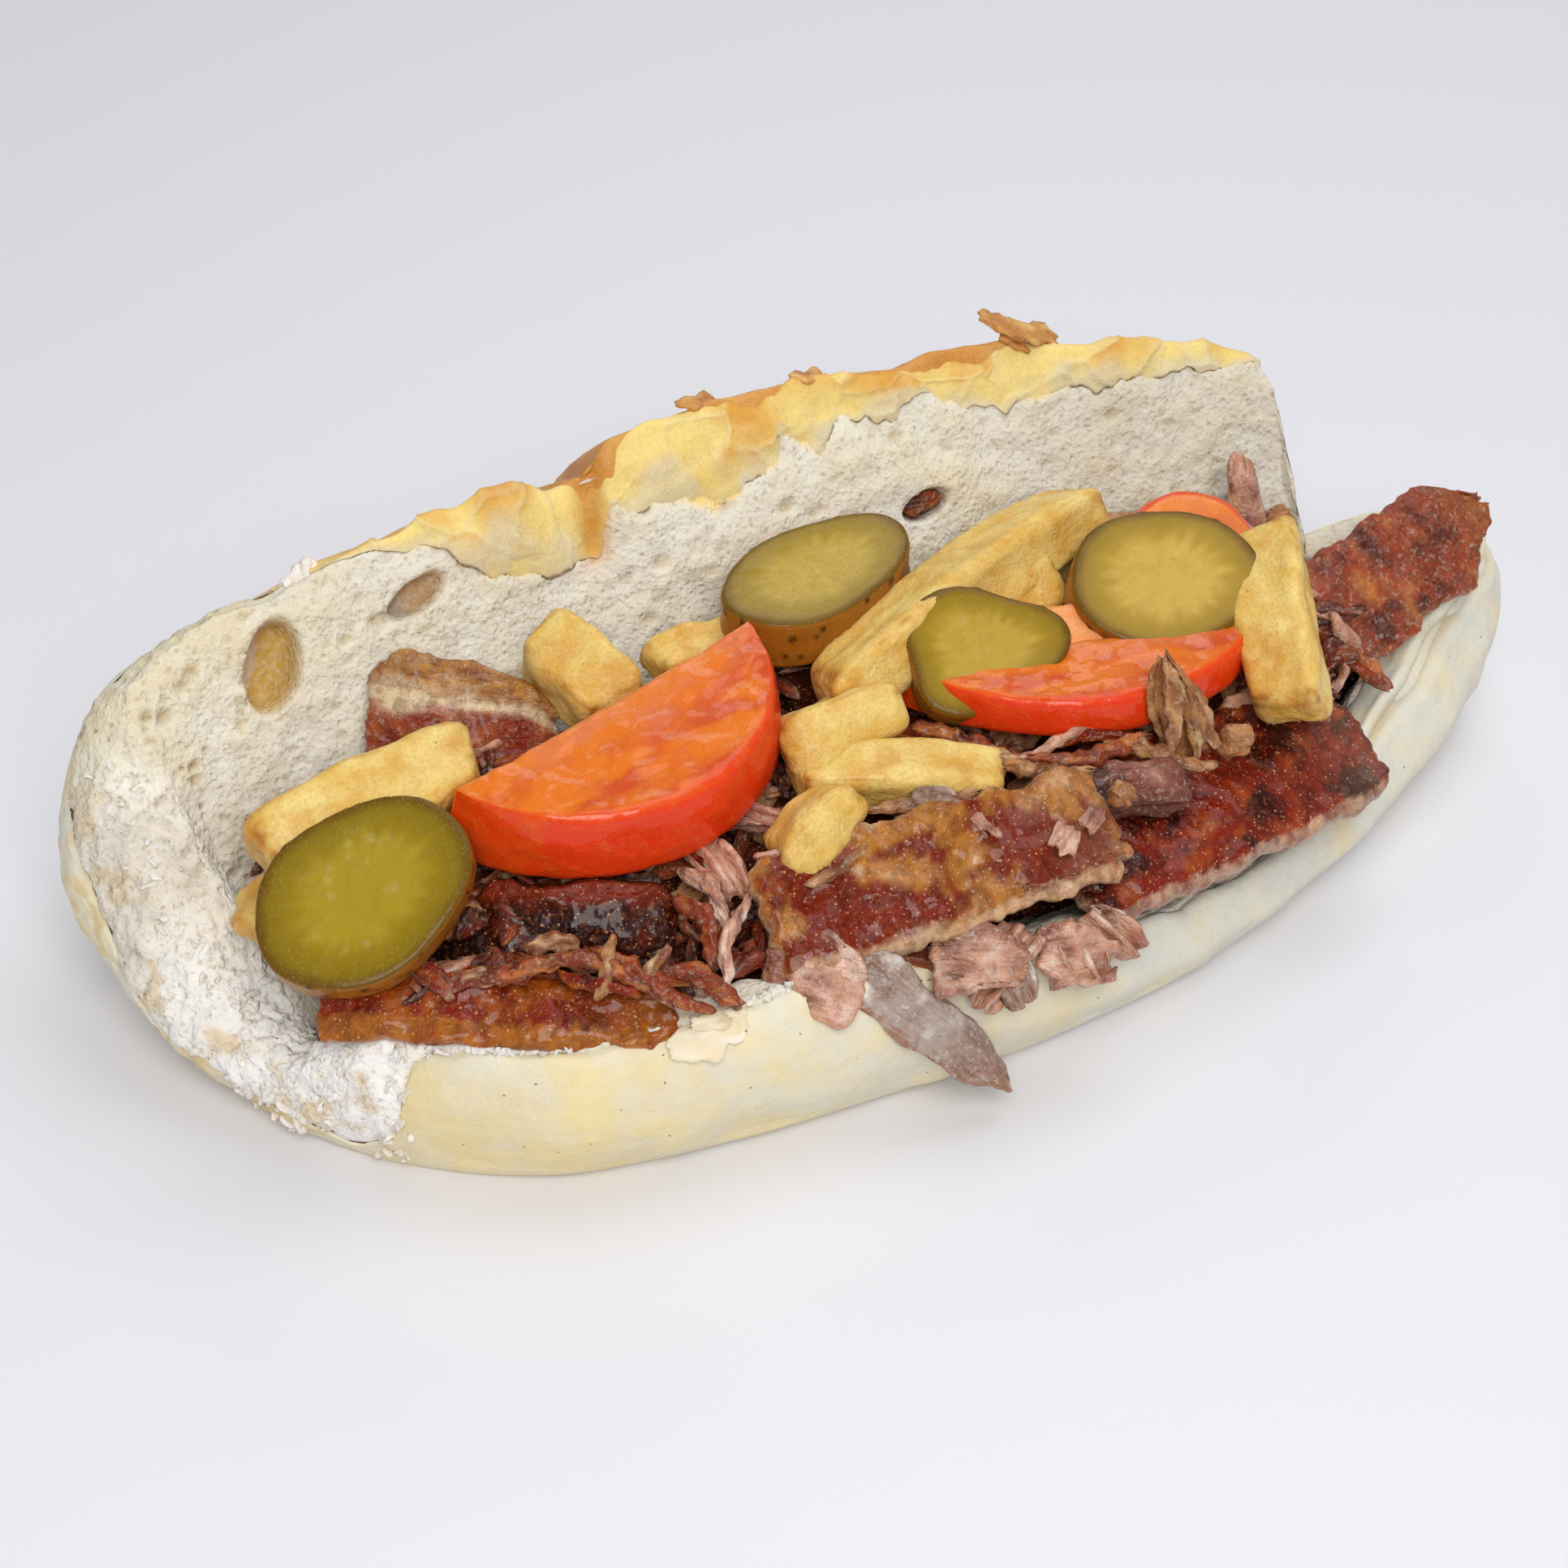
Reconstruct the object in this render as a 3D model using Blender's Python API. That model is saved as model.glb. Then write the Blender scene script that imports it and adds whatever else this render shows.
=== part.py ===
"""Doner kebab sandwich: a soft loaf slit along one side and opened on its back hinge, filled with
sliced and shredded meat, fries, tomato and pickle.

Sizes are in millimetres and are scaled to metres when a piece is made. X runs along the loaf, -Y is
the open front and +Z is up. The origin is on the ground, under the middle of the lower half.
"""
import math
import random
from typing import NamedTuple

import bmesh
import bpy
from mathutils import Matrix, Vector, noise
from mathutils.bvhtree import BVHTree

MM = 0.001
NAME = "doner_kebab_sandwich"

# Loaf
COLUMNS = 90
CRUMB_FLOOR = 9.0
POLE_Y = -2.0
SPINE = ((-76.0, 6.0), (86.0, 9.0))
CRUMB_LUMP = 0.9
CRUMB_LUMP_SIZE = 13.0
TORN_EDGE = 1.2
TORN_LUMP_SIZE = 6.0
TORN_PLACE = 3.4
TORN_SPREAD = 0.8
SMOOTH_UP_TO = 4.0
NICK_X = -39.0
NICK_WIDTH = 4.5
NICK_DEPTH = 5.0
NICK_FROM_Y = 30.0
SHOULDER_OUT = 0.14
SHOULDER_UP = 0.58
LIP_DROP = 0.3
FOOT_TUCK = 8.0
BUBBLE_SIDES = 12
BUBBLE_RINGS = 8

# Zones of the wall's outline, by the number of its points
CREST_ZONE = 2
STRAIGHT_ZONE = 4
FLOOR_ZONE = 6

# Filling
HEAP_COLUMNS = 40
HEAP_GAP = 1.6
HEAP_FOOT = 0.6
HEAP_BUMP = 1.5
HEAP_BUMP_SIZE = 9.0
HEAP_EDGE_UP = 3.0
HEAP_FRONT_UP = 25.0
HEAP_BACK_RISE = 16.0
HEAP_DEPTH = 60.0
HEAP_FRONT_Y = -38.0
HEAP_LEFT_END = -118.0
HEAP_LEFT_RUN = 34.0
HEAP_RIGHT_END = 112.0
HEAP_RIGHT_RUN = 45.0
SHREDS = 24
SHRED_LENGTH = (14.0, 24.0)
SHRED_WIDTH = (3.0, 6.0)
SHRED_THICK = (1.8, 3.0)
SHRED_ARCH = (0.5, 2.5)
SHRED_HEADING = 0.9
SHRED_LEFT = -92.0
SHRED_RUN = 170.0
SHRED_BACK = 16.0
SHRED_FRONT = -25.0
SEED = 11
PIECE_GAP = 0.45
THIN_FACE = 0.03
SHORT_EDGE = 0.15
MEND_PASSES = 6
SLICE_WAVE = 0.35
SLICE_WAVE_SIZE = 8.0
SLICE_EDGE_SIZE = 7.0
SLICE_EDGE_THIN = 0.25
FRY_UNEVEN = 0.12
FRY_EDGE = 1.7
FRY_SHARP = 50.0
PICKLE_SIDES = 26
PICKLE_RIM = 0.7
PICKLE_WOBBLE = 0.015
TOMATO_SIDES = 28
TOMATO_RINGS = 18

# Colours
CRUST = (0.83, 0.66, 0.36)
MEAT_BROWN = (0.24, 0.07, 0.03)
MEAT_GOLD = (0.36, 0.16, 0.06)
MEAT_PALE = (0.45, 0.27, 0.21)
MEAT_DARK = (0.09, 0.03, 0.02)
FRY = (0.86, 0.62, 0.18)
TOMATO = (0.80, 0.14, 0.03)
PICKLE = (0.35, 0.31, 0.04)


class Section(NamedTuple):
    """The loaf's wall cut across: distances outwards from its foot, and heights."""

    belly: float
    belly_z: float
    crest: float
    crest_z: float
    lip: float
    knee: float
    knee_z: float
    floor: float


FRONT = Section(7.0, 11.5, 3.0, 27.5, 8.0, -7.0, 17.0, -17.0)
PRESSED = Section(5.5, 7.5, 2.0, 15.0, 7.0, -9.0, 11.5, -15.0)
HEEL = Section(13.0, 20.0, 8.0, 32.0, 7.0, -5.0, 20.0, -22.0)
BACK_RIM = Section(8.0, 14.0, 5.0, 29.0, 6.0, -4.0, 18.0, -15.0)
LID = Section(29.0, 30.0, 13.0, 71.0, 7.0, -14.0, 25.0, -28.0)
LEFT = Section(14.0, 20.0, 5.0, 42.0, 9.0, -12.0, 22.0, -27.0)
CLEFT = Section(4.0, 6.0, 1.0, 15.0, 6.0, -8.0, 11.0, -18.0)
TORN = Section(3.5, 11.0, 0.0, 26.0, 10.0, -13.0, 17.0, -20.0)


class Station(NamedTuple):
    """A place round the loaf: its share of the turn, the wall's foot, its facing and its section."""

    turn: float
    x: float
    y: float
    facing: float
    section: Section


STATIONS = (
    Station(0, 107, 10, 5, HEEL),
    Station(20, 101, 20, 48, HEEL._replace(belly=9, crest=7, crest_z=31, floor=-18)),
    Station(30, 89, 23, 84, BACK_RIM),
    Station(34, 90, 34, 97, LID._replace(belly=22, crest=9, crest_z=53, knee=-10)),
    Station(52, 68, 39, 90, LID._replace(belly=27, crest=11, crest_z=61)),
    Station(72, 30, 41, 90, LID._replace(crest_z=66)),
    Station(94, -12, 41, 90, LID._replace(crest_z=68)),
    Station(114, -52, 40, 91, LID._replace(crest=11, crest_z=64)),
    Station(132, -86, 38, 98, LID._replace(belly=27, crest=10, crest_z=60)),
    Station(152, -107, 35, 130, LID._replace(belly=19, belly_z=25, crest=9, crest_z=56, knee=-16)),
    Station(172, -114, 28, 168, LEFT._replace(belly=13)),
    Station(194, -112, 12, 188, LEFT._replace(belly=9, belly_z=11, crest=3, crest_z=27)),
    Station(212, -107, -3, 214, CLEFT),
    Station(224, -96, -18, 232, TORN),
    Station(240, -72, -32, 254, FRONT),
    Station(260, -38, -37, 266, FRONT._replace(crest_z=29)),
    Station(280, -5, -38, 270, FRONT._replace(crest_z=24)),
    Station(298, 25, -35, 277, PRESSED._replace(crest_z=17)),
    Station(314, 54, -26, 293, PRESSED),
    Station(332, 77, -14, 305, PRESSED._replace(belly=8, belly_z=9, crest=-1, crest_z=19)),
    Station(346, 94, -3, 318, HEEL._replace(belly=10, belly_z=12, crest=0, crest_z=27)),
)

# Where each ring of the loaf's skin lies: the zone of the wall and how far through it.
SOLE_RINGS = (0.55, 0.9)
WALL_RINGS = (0.0, 0.4, 1.0, 1.5, 2.0, 2.4, 2.7, 3.0, 3.5, 4.0, 4.33, 4.66, 5.0, 5.5, 6.0)
FLOOR_RINGS = (0.1, 0.55)


def periodic_cubic(turns: list[float], values: list[float], turn: float) -> float:
    """Reads a smooth periodic curve through the values, without overshoot.

    Args:
        turns: Ascending places of the values, in degrees.
        values: One value for each place.
        turn: Where to read, in degrees.

    Returns:
        The curve's value there.
    """
    count = len(turns)
    turn %= 360.0
    low = max(i for i in range(count) if turns[i] <= turn)

    def gap(i: int) -> float:
        return (turns[(i + 1) % count] - turns[i % count]) % 360.0

    def slope(i: int) -> float:
        return (values[(i + 1) % count] - values[i % count]) / gap(i)

    def tangent(i: int) -> float:
        before, after = slope(i - 1), slope(i)
        if before * after <= 0.0:
            return 0.0
        return 2.0 * before * after / (before + after)

    high = (low + 1) % count
    width = gap(low)
    t = (turn - turns[low]) / width
    h00 = 2 * t**3 - 3 * t**2 + 1
    h10 = t**3 - 2 * t**2 + t
    return (
        h00 * values[low]
        + (1 - h00) * values[high]
        + width * (h10 * tangent(low) + (t**3 - t**2) * tangent(high))
    )


def station_at(turn: float) -> Station:
    """Blends the loaf's stations at any turn."""
    turns = [s.turn for s in STATIONS]

    def read(values: list[float]) -> float:
        return periodic_cubic(turns, values, turn)

    facing = math.atan2(
        read([math.sin(math.radians(s.facing)) for s in STATIONS]),
        read([math.cos(math.radians(s.facing)) for s in STATIONS]),
    )
    section = Section(*(read([s.section[i] for s in STATIONS]) for i in range(len(Section._fields))))
    return Station(turn, read([s.x for s in STATIONS]), read([s.y for s in STATIONS]), facing, section)


def wall_curve(section: Section) -> list[tuple[float, float]]:
    """Lists the points (outwards, height) that the wall's outline runs through, foot to floor."""
    rise = section.crest_z - section.belly_z
    shoulder = (section.belly + section.crest) / 2 + SHOULDER_OUT * rise
    inner = section.crest - section.lip
    inner_z = section.crest_z - LIP_DROP * section.lip
    return [
        (0.0, 0.0),
        (section.belly, section.belly_z),
        (shoulder, section.belly_z + SHOULDER_UP * rise),
        (section.crest, section.crest_z),
        (inner, inner_z),
        (section.knee, section.knee_z),
        (section.floor, CRUMB_FLOOR),
    ]


def read_wall(points: list[tuple[float, float]], place: float) -> tuple[float, float]:
    """Reads a rounded curve through the wall's points; the long inner face stays straight."""
    last = len(points) - 1
    i = min(int(place), last - 1)
    t = place - i
    p1, p2 = points[i], points[i + 1]
    p0 = points[i - 1] if i else (p1[0] - FOOT_TUCK, 0.0)
    p3 = points[min(i + 2, last)]
    result = []
    for a, b, c, d in zip(p0, p1, p2, p3):
        bend = 0.0 if i == STRAIGHT_ZONE else 1.0
        m1 = 0.5 * (c - a) * bend + (c - b) * (1 - bend)
        m2 = 0.5 * (d - b) * bend + (c - b) * (1 - bend)
        result.append(
            (2 * t**3 - 3 * t**2 + 1) * b
            + (t**3 - 2 * t**2 + t) * m1
            + (3 * t**2 - 2 * t**3) * c
            + (t**3 - t**2) * m2
        )
    return result[0], max(result[1], 0.0)


def loaf_relief(point: Vector, place: float) -> Vector:
    """Returns how far the loaf's skin is pushed by crumb lumps and by its torn edge."""
    lump = noise.noise(point / CRUMB_LUMP_SIZE) * CRUMB_LUMP
    if point.z < SMOOTH_UP_TO:
        return Vector((0, 0, 0))
    edge = math.exp(-(((place - TORN_PLACE) / TORN_SPREAD) ** 2))
    torn = noise.noise(point / TORN_LUMP_SIZE + Vector((7, 3, 1))) * TORN_EDGE * edge
    nick = 0.0
    if point.y > NICK_FROM_Y and place > CREST_ZONE:
        nick = NICK_DEPTH * math.exp(-(((point.x - NICK_X) / NICK_WIDTH) ** 2)) * edge
    return Vector((0.3 * lump, lump, torn + lump - nick))


def beside(station: Station, out: float, height: float) -> Vector:
    """Places a point beside a station's foot: outwards along its facing, inwards to the spine."""
    foot = Vector((station.x, station.y, height))
    if out >= 0.0:
        return foot + Vector((math.cos(station.facing), math.sin(station.facing), 0.0)) * out
    (left_x, left_y), (right_x, right_y) = SPINE
    share = max(0.0, min(1.0, (station.x - left_x) / (right_x - left_x)))
    spine = Vector((left_x + share * (right_x - left_x), left_y + share * (right_y - left_y), height))
    return foot - (spine - foot).normalized() * out


def loaf_point(turn: float, zone: str, place: float) -> Vector:
    """Places one point of the loaf's skin.

    Args:
        turn: Degrees round the loaf, anticlockwise from its right tip.
        zone: "sole", "wall" or "floor".
        place: How far through that zone.

    Returns:
        The point in millimetres.
    """
    station = station_at(turn)
    if zone == "sole":
        return Vector((0.0, POLE_Y, 0.0)).lerp(beside(station, 0.0, 0.0), place)
    if zone == "wall":
        point = beside(station, *read_wall(wall_curve(station.section), place))
        return point + (loaf_relief(point, place) if 0.0 < place < FLOOR_ZONE else Vector((0, 0, 0)))
    edge = beside(station, station.section.floor, CRUMB_FLOOR)
    return edge.lerp(Vector((0.0, POLE_Y, CRUMB_FLOOR)), place)


def mapped_sphere(bm: bmesh.types.BMesh, columns: int, rings: list[tuple], place_point) -> None:
    """Makes a UV sphere and moves each ring and pole to where place_point says."""
    bands = len(rings) + 1
    bmesh.ops.create_uvsphere(bm, u_segments=columns, v_segments=bands, radius=1.0)
    for vert in bm.verts:
        latitude = math.degrees(math.asin(max(-1.0, min(1.0, vert.co.z))))
        ring = round((latitude + 90.0) / 180.0 * bands)
        if ring in (0, bands):
            point = place_point(0.0, *(("sole", 0.0) if ring == 0 else ("floor", 1.0)))
        else:
            turn = math.degrees(math.atan2(vert.co.y, vert.co.x))
            point = place_point(round(turn, 3), *rings[ring - 1])
        vert.co = point * MM


def principled(name: str, colour: tuple[float, float, float], roughness: float) -> bpy.types.Material:
    """Makes a plain material with the food's own colour."""
    material = bpy.data.materials.new(name)
    material.use_nodes = True
    shader = material.node_tree.nodes["Principled BSDF"]
    shader.inputs["Base Color"].default_value = (*colour, 1.0)
    shader.inputs["Roughness"].default_value = roughness
    shader.inputs["Metallic"].default_value = 0.0
    material.diffuse_color = (*colour, 1.0)
    return material


def add_object(name: str, bm: bmesh.types.BMesh, collection, material=None) -> bpy.types.Object:
    """Turns a finished bmesh into a named object in a collection, cut into triangles."""
    bmesh.ops.triangulate(bm, faces=bm.faces[:])
    mesh = bpy.data.meshes.new(name)
    bm.to_mesh(mesh)
    bm.free()
    item = bpy.data.objects.new(name, mesh)
    collection.objects.link(item)
    if material is not None:
        mesh.materials.append(material)
    return item


def axes_matrix(centre: Vector, along: Vector, facing: Vector) -> Matrix:
    """Builds a placement with X along the piece and Z as near its facing as that allows."""
    x_axis = along.normalized()
    z_axis = (facing - x_axis * facing.dot(x_axis)).normalized()
    y_axis = z_axis.cross(x_axis)
    placement = Matrix((x_axis, y_axis, z_axis)).transposed().to_4x4()
    placement.translation = centre
    return placement


def divided_box(bm: bmesh.types.BMesh, cuts_x: int, cuts_y: int) -> None:
    """Makes a cube of side 2 whose length and width are cut into strips."""
    bmesh.ops.create_cube(bm, size=2.0)
    for axis, cuts in ((0, cuts_x), (1, cuts_y)):
        edges = [
            e for e in bm.edges if abs(e.verts[0].co[axis] - e.verts[1].co[axis]) > 1.9
        ]
        if cuts:
            bmesh.ops.subdivide_edges(bm, edges=edges, cuts=cuts, use_grid_fill=True)


class Slice(NamedTuple):
    """A slice or strip of meat: two ends of its middle line, its size and the way it faces."""

    name: str
    start: tuple[float, float, float]
    end: tuple[float, float, float]
    facing: tuple[float, float, float]
    width: float
    thick: float
    arch: float
    ragged: float
    taper: float
    colour: tuple[float, float, float]
    cuts: tuple[int, int] = (8, 3)


def slice_bmesh(cut: Slice) -> bmesh.types.BMesh:
    """Models a slice as a divided box with a ragged outline, an arch and uneven faces."""
    bm = bmesh.new()
    divided_box(bm, *cut.cuts)
    start, end = Vector(cut.start), Vector(cut.end)
    half = (end - start).length / 2
    placement = axes_matrix((start + end) / 2, end - start, Vector(cut.facing))
    phase = Vector((start.x, start.y, start.z)) * 0.37
    for vert in bm.verts:
        u, v, w = vert.co
        narrow = 1.0 - cut.taper * max(0.0, u) ** 2
        edge_u = cut.ragged * noise.noise(Vector((3.0, v * 1.6, 0.3)) + phase) if abs(u) > 0.95 else 0
        edge_v = cut.ragged * noise.noise(Vector((u * half / SLICE_EDGE_SIZE, 5.0 * v, 1.1)) + phase)
        x = u * half + edge_u
        y = v * (cut.width / 2 * narrow + edge_v)
        wave = SLICE_WAVE * cut.thick * noise.noise(
            Vector((x / SLICE_WAVE_SIZE, y / SLICE_WAVE_SIZE, 2.0)) + phase
        )
        thin = 1.0 - SLICE_EDGE_THIN * max(abs(u), abs(v)) ** 4
        z = w * cut.thick / 2 * thin + cut.arch * (1 - u * u) + wave
        vert.co = placement @ Vector((x, y, z)) * MM
    return bm


SLICES = (
    Slice("meat_strip_hanging", (-31, -38, 30), (-11, -49.5, 6), (-0.1, -0.85, 0.5),
          8.5, 1.6, 2.0, 1.0, 0.75, MEAT_PALE, (7, 1)),
    Slice("meat_scrap_pink", (-43, -33, 31), (-32, -43, 28.5), (-0.4, -0.5, 0.75),
          12, 1.6, 0.8, 1.6, 0.2, MEAT_PALE, (4, 3)),
    Slice("meat_fold_left", (-21, -42, 29), (-6, -46, 25), (0.1, -0.7, 0.7),
          9, 2.2, 1.5, 1.5, 0.3, MEAT_PALE, (6, 2)),
    Slice("meat_fold_right", (-4, -45, 24.5), (8.5, -46.5, 21.5), (0.2, -0.8, 0.6),
          9, 2.4, 1.8, 1.5, 0.3, MEAT_PALE, (6, 2)),
    Slice("meat_slice_front_left", (-104, -10, 29.5), (-60, -37, 28.5), (-0.25, -0.45, 0.86),
          11, 3.0, 1.5, 1.4, 0.35, MEAT_GOLD, (10, 3)),
    Slice("meat_slice_dark", (-79, -10, 33.5), (-52, -22, 33.5), (-0.3, -0.75, 0.55),
          13, 8.0, 0.5, 1.0, 0.1, MEAT_DARK, (7, 3)),
    Slice("meat_slice_right", (6, -32, 29), (70, -20.5, 25.5), (-0.12, -0.42, 0.9),
          26, 6.0, 1.2, 1.6, 0.1, MEAT_BROWN, (12, 5)),
    Slice("meat_slice_centre", (-42, -29, 34), (15, -34, 36.5), (-0.1, -0.5, 0.86),
          20, 5.0, 1.5, 2.2, 0.1, MEAT_GOLD, (11, 5)),
    Slice("meat_slice_back_left", (-79, 31, 45), (-53, 18, 40.5), (-0.35, -0.75, 0.55),
          20, 4.5, 1.5, 1.4, 0.6, MEAT_GOLD, (7, 4)),
    Slice("meat_slice_far_right", (74, -3, 33), (116, 10, 38.5), (-0.3, -0.62, 0.72),
          20, 4.0, 1.5, 1.8, 0.8, MEAT_BROWN, (10, 4)),
    Slice("meat_chunk_dark", (15, -24, 35), (31, -31, 35.5), (-0.2, -0.75, 0.6),
          9, 6.0, 0.8, 1.0, 0.2, MEAT_DARK, (5, 2)),
    Slice("meat_strip_upright", (33, -26.5, 37), (31, -20.5, 53), (-0.5, -0.8, 0.1),
          8, 2.0, 0.6, 1.0, 0.7, MEAT_PALE, (6, 2)),
    Slice("meat_strip_lid", (75, 19, 35), (75, 26, 51), (-0.4, -0.8, 0.4),
          5.5, 2.6, 0.8, 0.8, 0.4, MEAT_PALE, (5, 1)),
)


class Fry(NamedTuple):
    """A potato fry: the ends of its middle line, its two widths, its roll and its bend."""

    name: str
    start: tuple[float, float, float]
    end: tuple[float, float, float]
    width: float
    depth: float
    roll: float
    bend: float


FRIES = (
    Fry("fry_left_low", (-107.2, 11, 29.5), (-100.5, 4, 37.5), 8.0, 8.0, 20, 0.5),
    Fry("fry_left", (-104, 8, 41.5), (-70, 10, 47.5), 13.0, 12.0, 25, 1.6),
    Fry("fry_back_left", (-50.5, 30, 51), (-45, 13, 45.5), 12.0, 10.5, 15, 1.0),
    Fry("fry_back_short", (-36, 21, 46), (-18, 19.5, 46), 9.0, 8.0, 10, 0.4),
    Fry("fry_back_shaded", (40, 22, 44), (26, 21, 43), 9.0, 8.0, 10, 0.4),
    Fry("fry_centre_behind", (31, 14.5, 46), (12, 10, 43), 11.0, 10.0, 30, 0.6),
    Fry("fry_long", (43, 23, 51), (-15, 2, 45), 12.5, 11.0, 20, 2.0),
    Fry("fry_centre_end", (-7, -4.5, 45), (-26, -5, 43), 11.5, 10.0, 40, 0.8),
    Fry("fry_front_flat", (-26, -8, 41.5), (4, -20, 38), 10.0, 8.0, 10, 1.0),
    Fry("fry_front_tip", (-22.5, -18.5, 43.5), (-35, -23, 37.5), 10.5, 9.0, 30, 0.5),
    Fry("fry_right", (65, 2.5, 51), (52, -26.5, 39), 12.5, 11.0, 25, 1.2),
)


def fry_bmesh(fry: Fry) -> bmesh.types.BMesh:
    """Models a fry as a cut, bent and slightly tapered bar with rounded edges."""
    bm = bmesh.new()
    divided_box(bm, 3, 0)
    start, end = Vector(fry.start), Vector(fry.end)
    half = (end - start).length / 2
    up = Matrix.Rotation(math.radians(fry.roll), 3, (end - start).normalized()) @ Vector((0, 0, 1))
    placement = axes_matrix((start + end) / 2, end - start, up)
    phase = start * 0.21
    for vert in bm.verts:
        u, v, w = vert.co
        uneven = 1.0 + FRY_UNEVEN * noise.noise(Vector((u * 1.3, v, w)) + phase)
        slant = FRY_UNEVEN * fry.width * v if abs(u) > 0.95 else 0.0
        vert.co = Vector((
            u * half + slant,
            v * fry.width / 2 * uneven,
            w * fry.depth / 2 * uneven + fry.bend * (1 - u * u),
        ))
    sharp = [e for e in bm.edges if e.calc_face_angle(0.0) > math.radians(FRY_SHARP)]
    bmesh.ops.bevel(bm, geom=sharp, offset=FRY_EDGE, segments=1, profile=0.5, affect="EDGES")
    for vert in bm.verts:
        vert.co = placement @ vert.co * MM
    return bm


class Round(NamedTuple):
    """A slice of pickle: its middle, facing, long direction, two half widths and thickness."""

    name: str
    centre: tuple[float, float, float]
    facing: tuple[float, float, float]
    along: tuple[float, float, float]
    long: float
    wide: float
    thick: float
    corner: float


PICKLES = (
    Round("pickle_left", (-94, -6, 42), (-0.24, -0.47, 0.85), (0.9, 0.1, 0.35), 16.9, 12.8, 5.5, 0.02),
    Round("pickle_back", (-6.5, 22, 51), (0.0, -0.05, 1.0), (0.94, 0.34, 0.0), 18.5, 10.8, 8.5, 0.03),
    Round("pickle_centre", (10, -1, 48), (-0.27, -0.54, 0.8), (1.0, -0.2, 0.0), 13.0, 10.2, 5.0, 0.12),
    Round("pickle_right", (44, 0, 49), (0.06, -0.5, 0.86), (0.95, -0.25, 0.0), 15.8, 12.2, 7.5, 0.02),
)


def pickle_bmesh(piece: Round) -> bmesh.types.BMesh:
    """Models a pickle slice as an oval or three-cornered disc with softened rims."""
    bm = bmesh.new()
    bmesh.ops.create_cone(
        bm, cap_ends=True, segments=PICKLE_SIDES, radius1=1.0, radius2=1.0, depth=1.0
    )
    rims = [e for e in bm.edges if abs(e.verts[0].co.z - e.verts[1].co.z) < 0.5]
    for vert in bm.verts:
        angle = math.atan2(vert.co.y, vert.co.x)
        swell = 1.0 + piece.corner * math.cos(3 * angle) + PICKLE_WOBBLE * math.sin(5 * angle + piece.long)
        vert.co.x *= piece.long * swell
        vert.co.y *= piece.wide * swell
        vert.co.z *= piece.thick
    bmesh.ops.bevel(bm, geom=rims, offset=PICKLE_RIM, segments=1, profile=0.5, affect="EDGES")
    placement = axes_matrix(Vector(piece.centre), Vector(piece.along), Vector(piece.facing))
    for vert in bm.verts:
        vert.co = placement @ vert.co * MM
    return bm


class Wedge(NamedTuple):
    """A piece of tomato: a ball cut by two faces, and by a straight cut across them."""

    name: str
    centre: tuple[float, float, float]
    facing: tuple[float, float, float]
    along: tuple[float, float, float]
    radius: float
    thick: float
    offset: float
    cut: float


TOMATOES = (
    Wedge("tomato_half_slice", (-51.2, 13.1, 48), (-0.04, -0.1, 0.99), (0.96, 0.26, 0.05), 30.5, 12.0, 3.0, 6.0),
    Wedge("tomato_rim_slice", (30.5, 12.2, 43), (-0.03, 0.05, 1.0), (0.98, -0.2, 0.0), 34.0, 7.0, 2.0, 16.5),
    Wedge("tomato_chunk", (29.7, 5, 47.3), (-0.2, -0.5, 0.85), (1.0, -0.15, 0.0), 13.0, 8.0, 1.0, 1.0),
    Wedge("tomato_tip", (54, 7.5, 45.3), (-0.3, -0.5, 0.8), (-0.75, 0.55, 0.35), 12.5, 8.0, 1.0, 1.0),
)


def tomato_bmesh(piece: Wedge) -> bmesh.types.BMesh:
    """Models a tomato piece by slicing a ball with flat cuts, as a knife does."""
    bm = bmesh.new()
    bmesh.ops.create_uvsphere(bm, u_segments=TOMATO_SIDES, v_segments=TOMATO_RINGS, radius=piece.radius)
    middle = piece.offset
    cuts = (
        (Vector((0, 0, middle + piece.thick / 2)), Vector((0, 0, 1))),
        (Vector((0, 0, middle - piece.thick / 2)), Vector((0, 0, -1))),
        (Vector((0, -piece.cut, 0)), Vector((0, 1, 0))),
    )
    for place, normal in cuts:
        kept = bm.verts[:] + bm.edges[:] + bm.faces[:]
        bmesh.ops.bisect_plane(
            bm, geom=kept, plane_co=place, plane_no=normal, clear_outer=True, dist=1e-4
        )
        bmesh.ops.holes_fill(bm, edges=[e for e in bm.edges if e.is_boundary], sides=0)
    placement = axes_matrix(Vector(piece.centre), Vector(piece.along), Vector(piece.facing))
    for vert in bm.verts:
        vert.co = placement @ (vert.co - Vector((0, 0, middle))) * MM
    return bm


def heap_height(x: float, y: float) -> float:
    """Returns the top of the meat heap above the ground at a place in the loaf."""
    back = max(0.0, min(1.0, (y - HEAP_FRONT_Y) / HEAP_DEPTH))
    slope = HEAP_FRONT_UP + HEAP_BACK_RISE * back**0.8
    left = max(0.0, min(1.0, (x - HEAP_LEFT_END) / HEAP_LEFT_RUN))
    right = max(0.0, min(1.0, (HEAP_RIGHT_END - x) / HEAP_RIGHT_RUN))
    ends = math.sin(left * math.pi / 2) * math.sin(right * math.pi / 2)
    bump = HEAP_BUMP * noise.noise(Vector((x / HEAP_BUMP_SIZE, y / HEAP_BUMP_SIZE, 4.0)))
    edge = CRUMB_FLOOR + HEAP_EDGE_UP
    return edge + (slope - edge) * ends + bump


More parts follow.
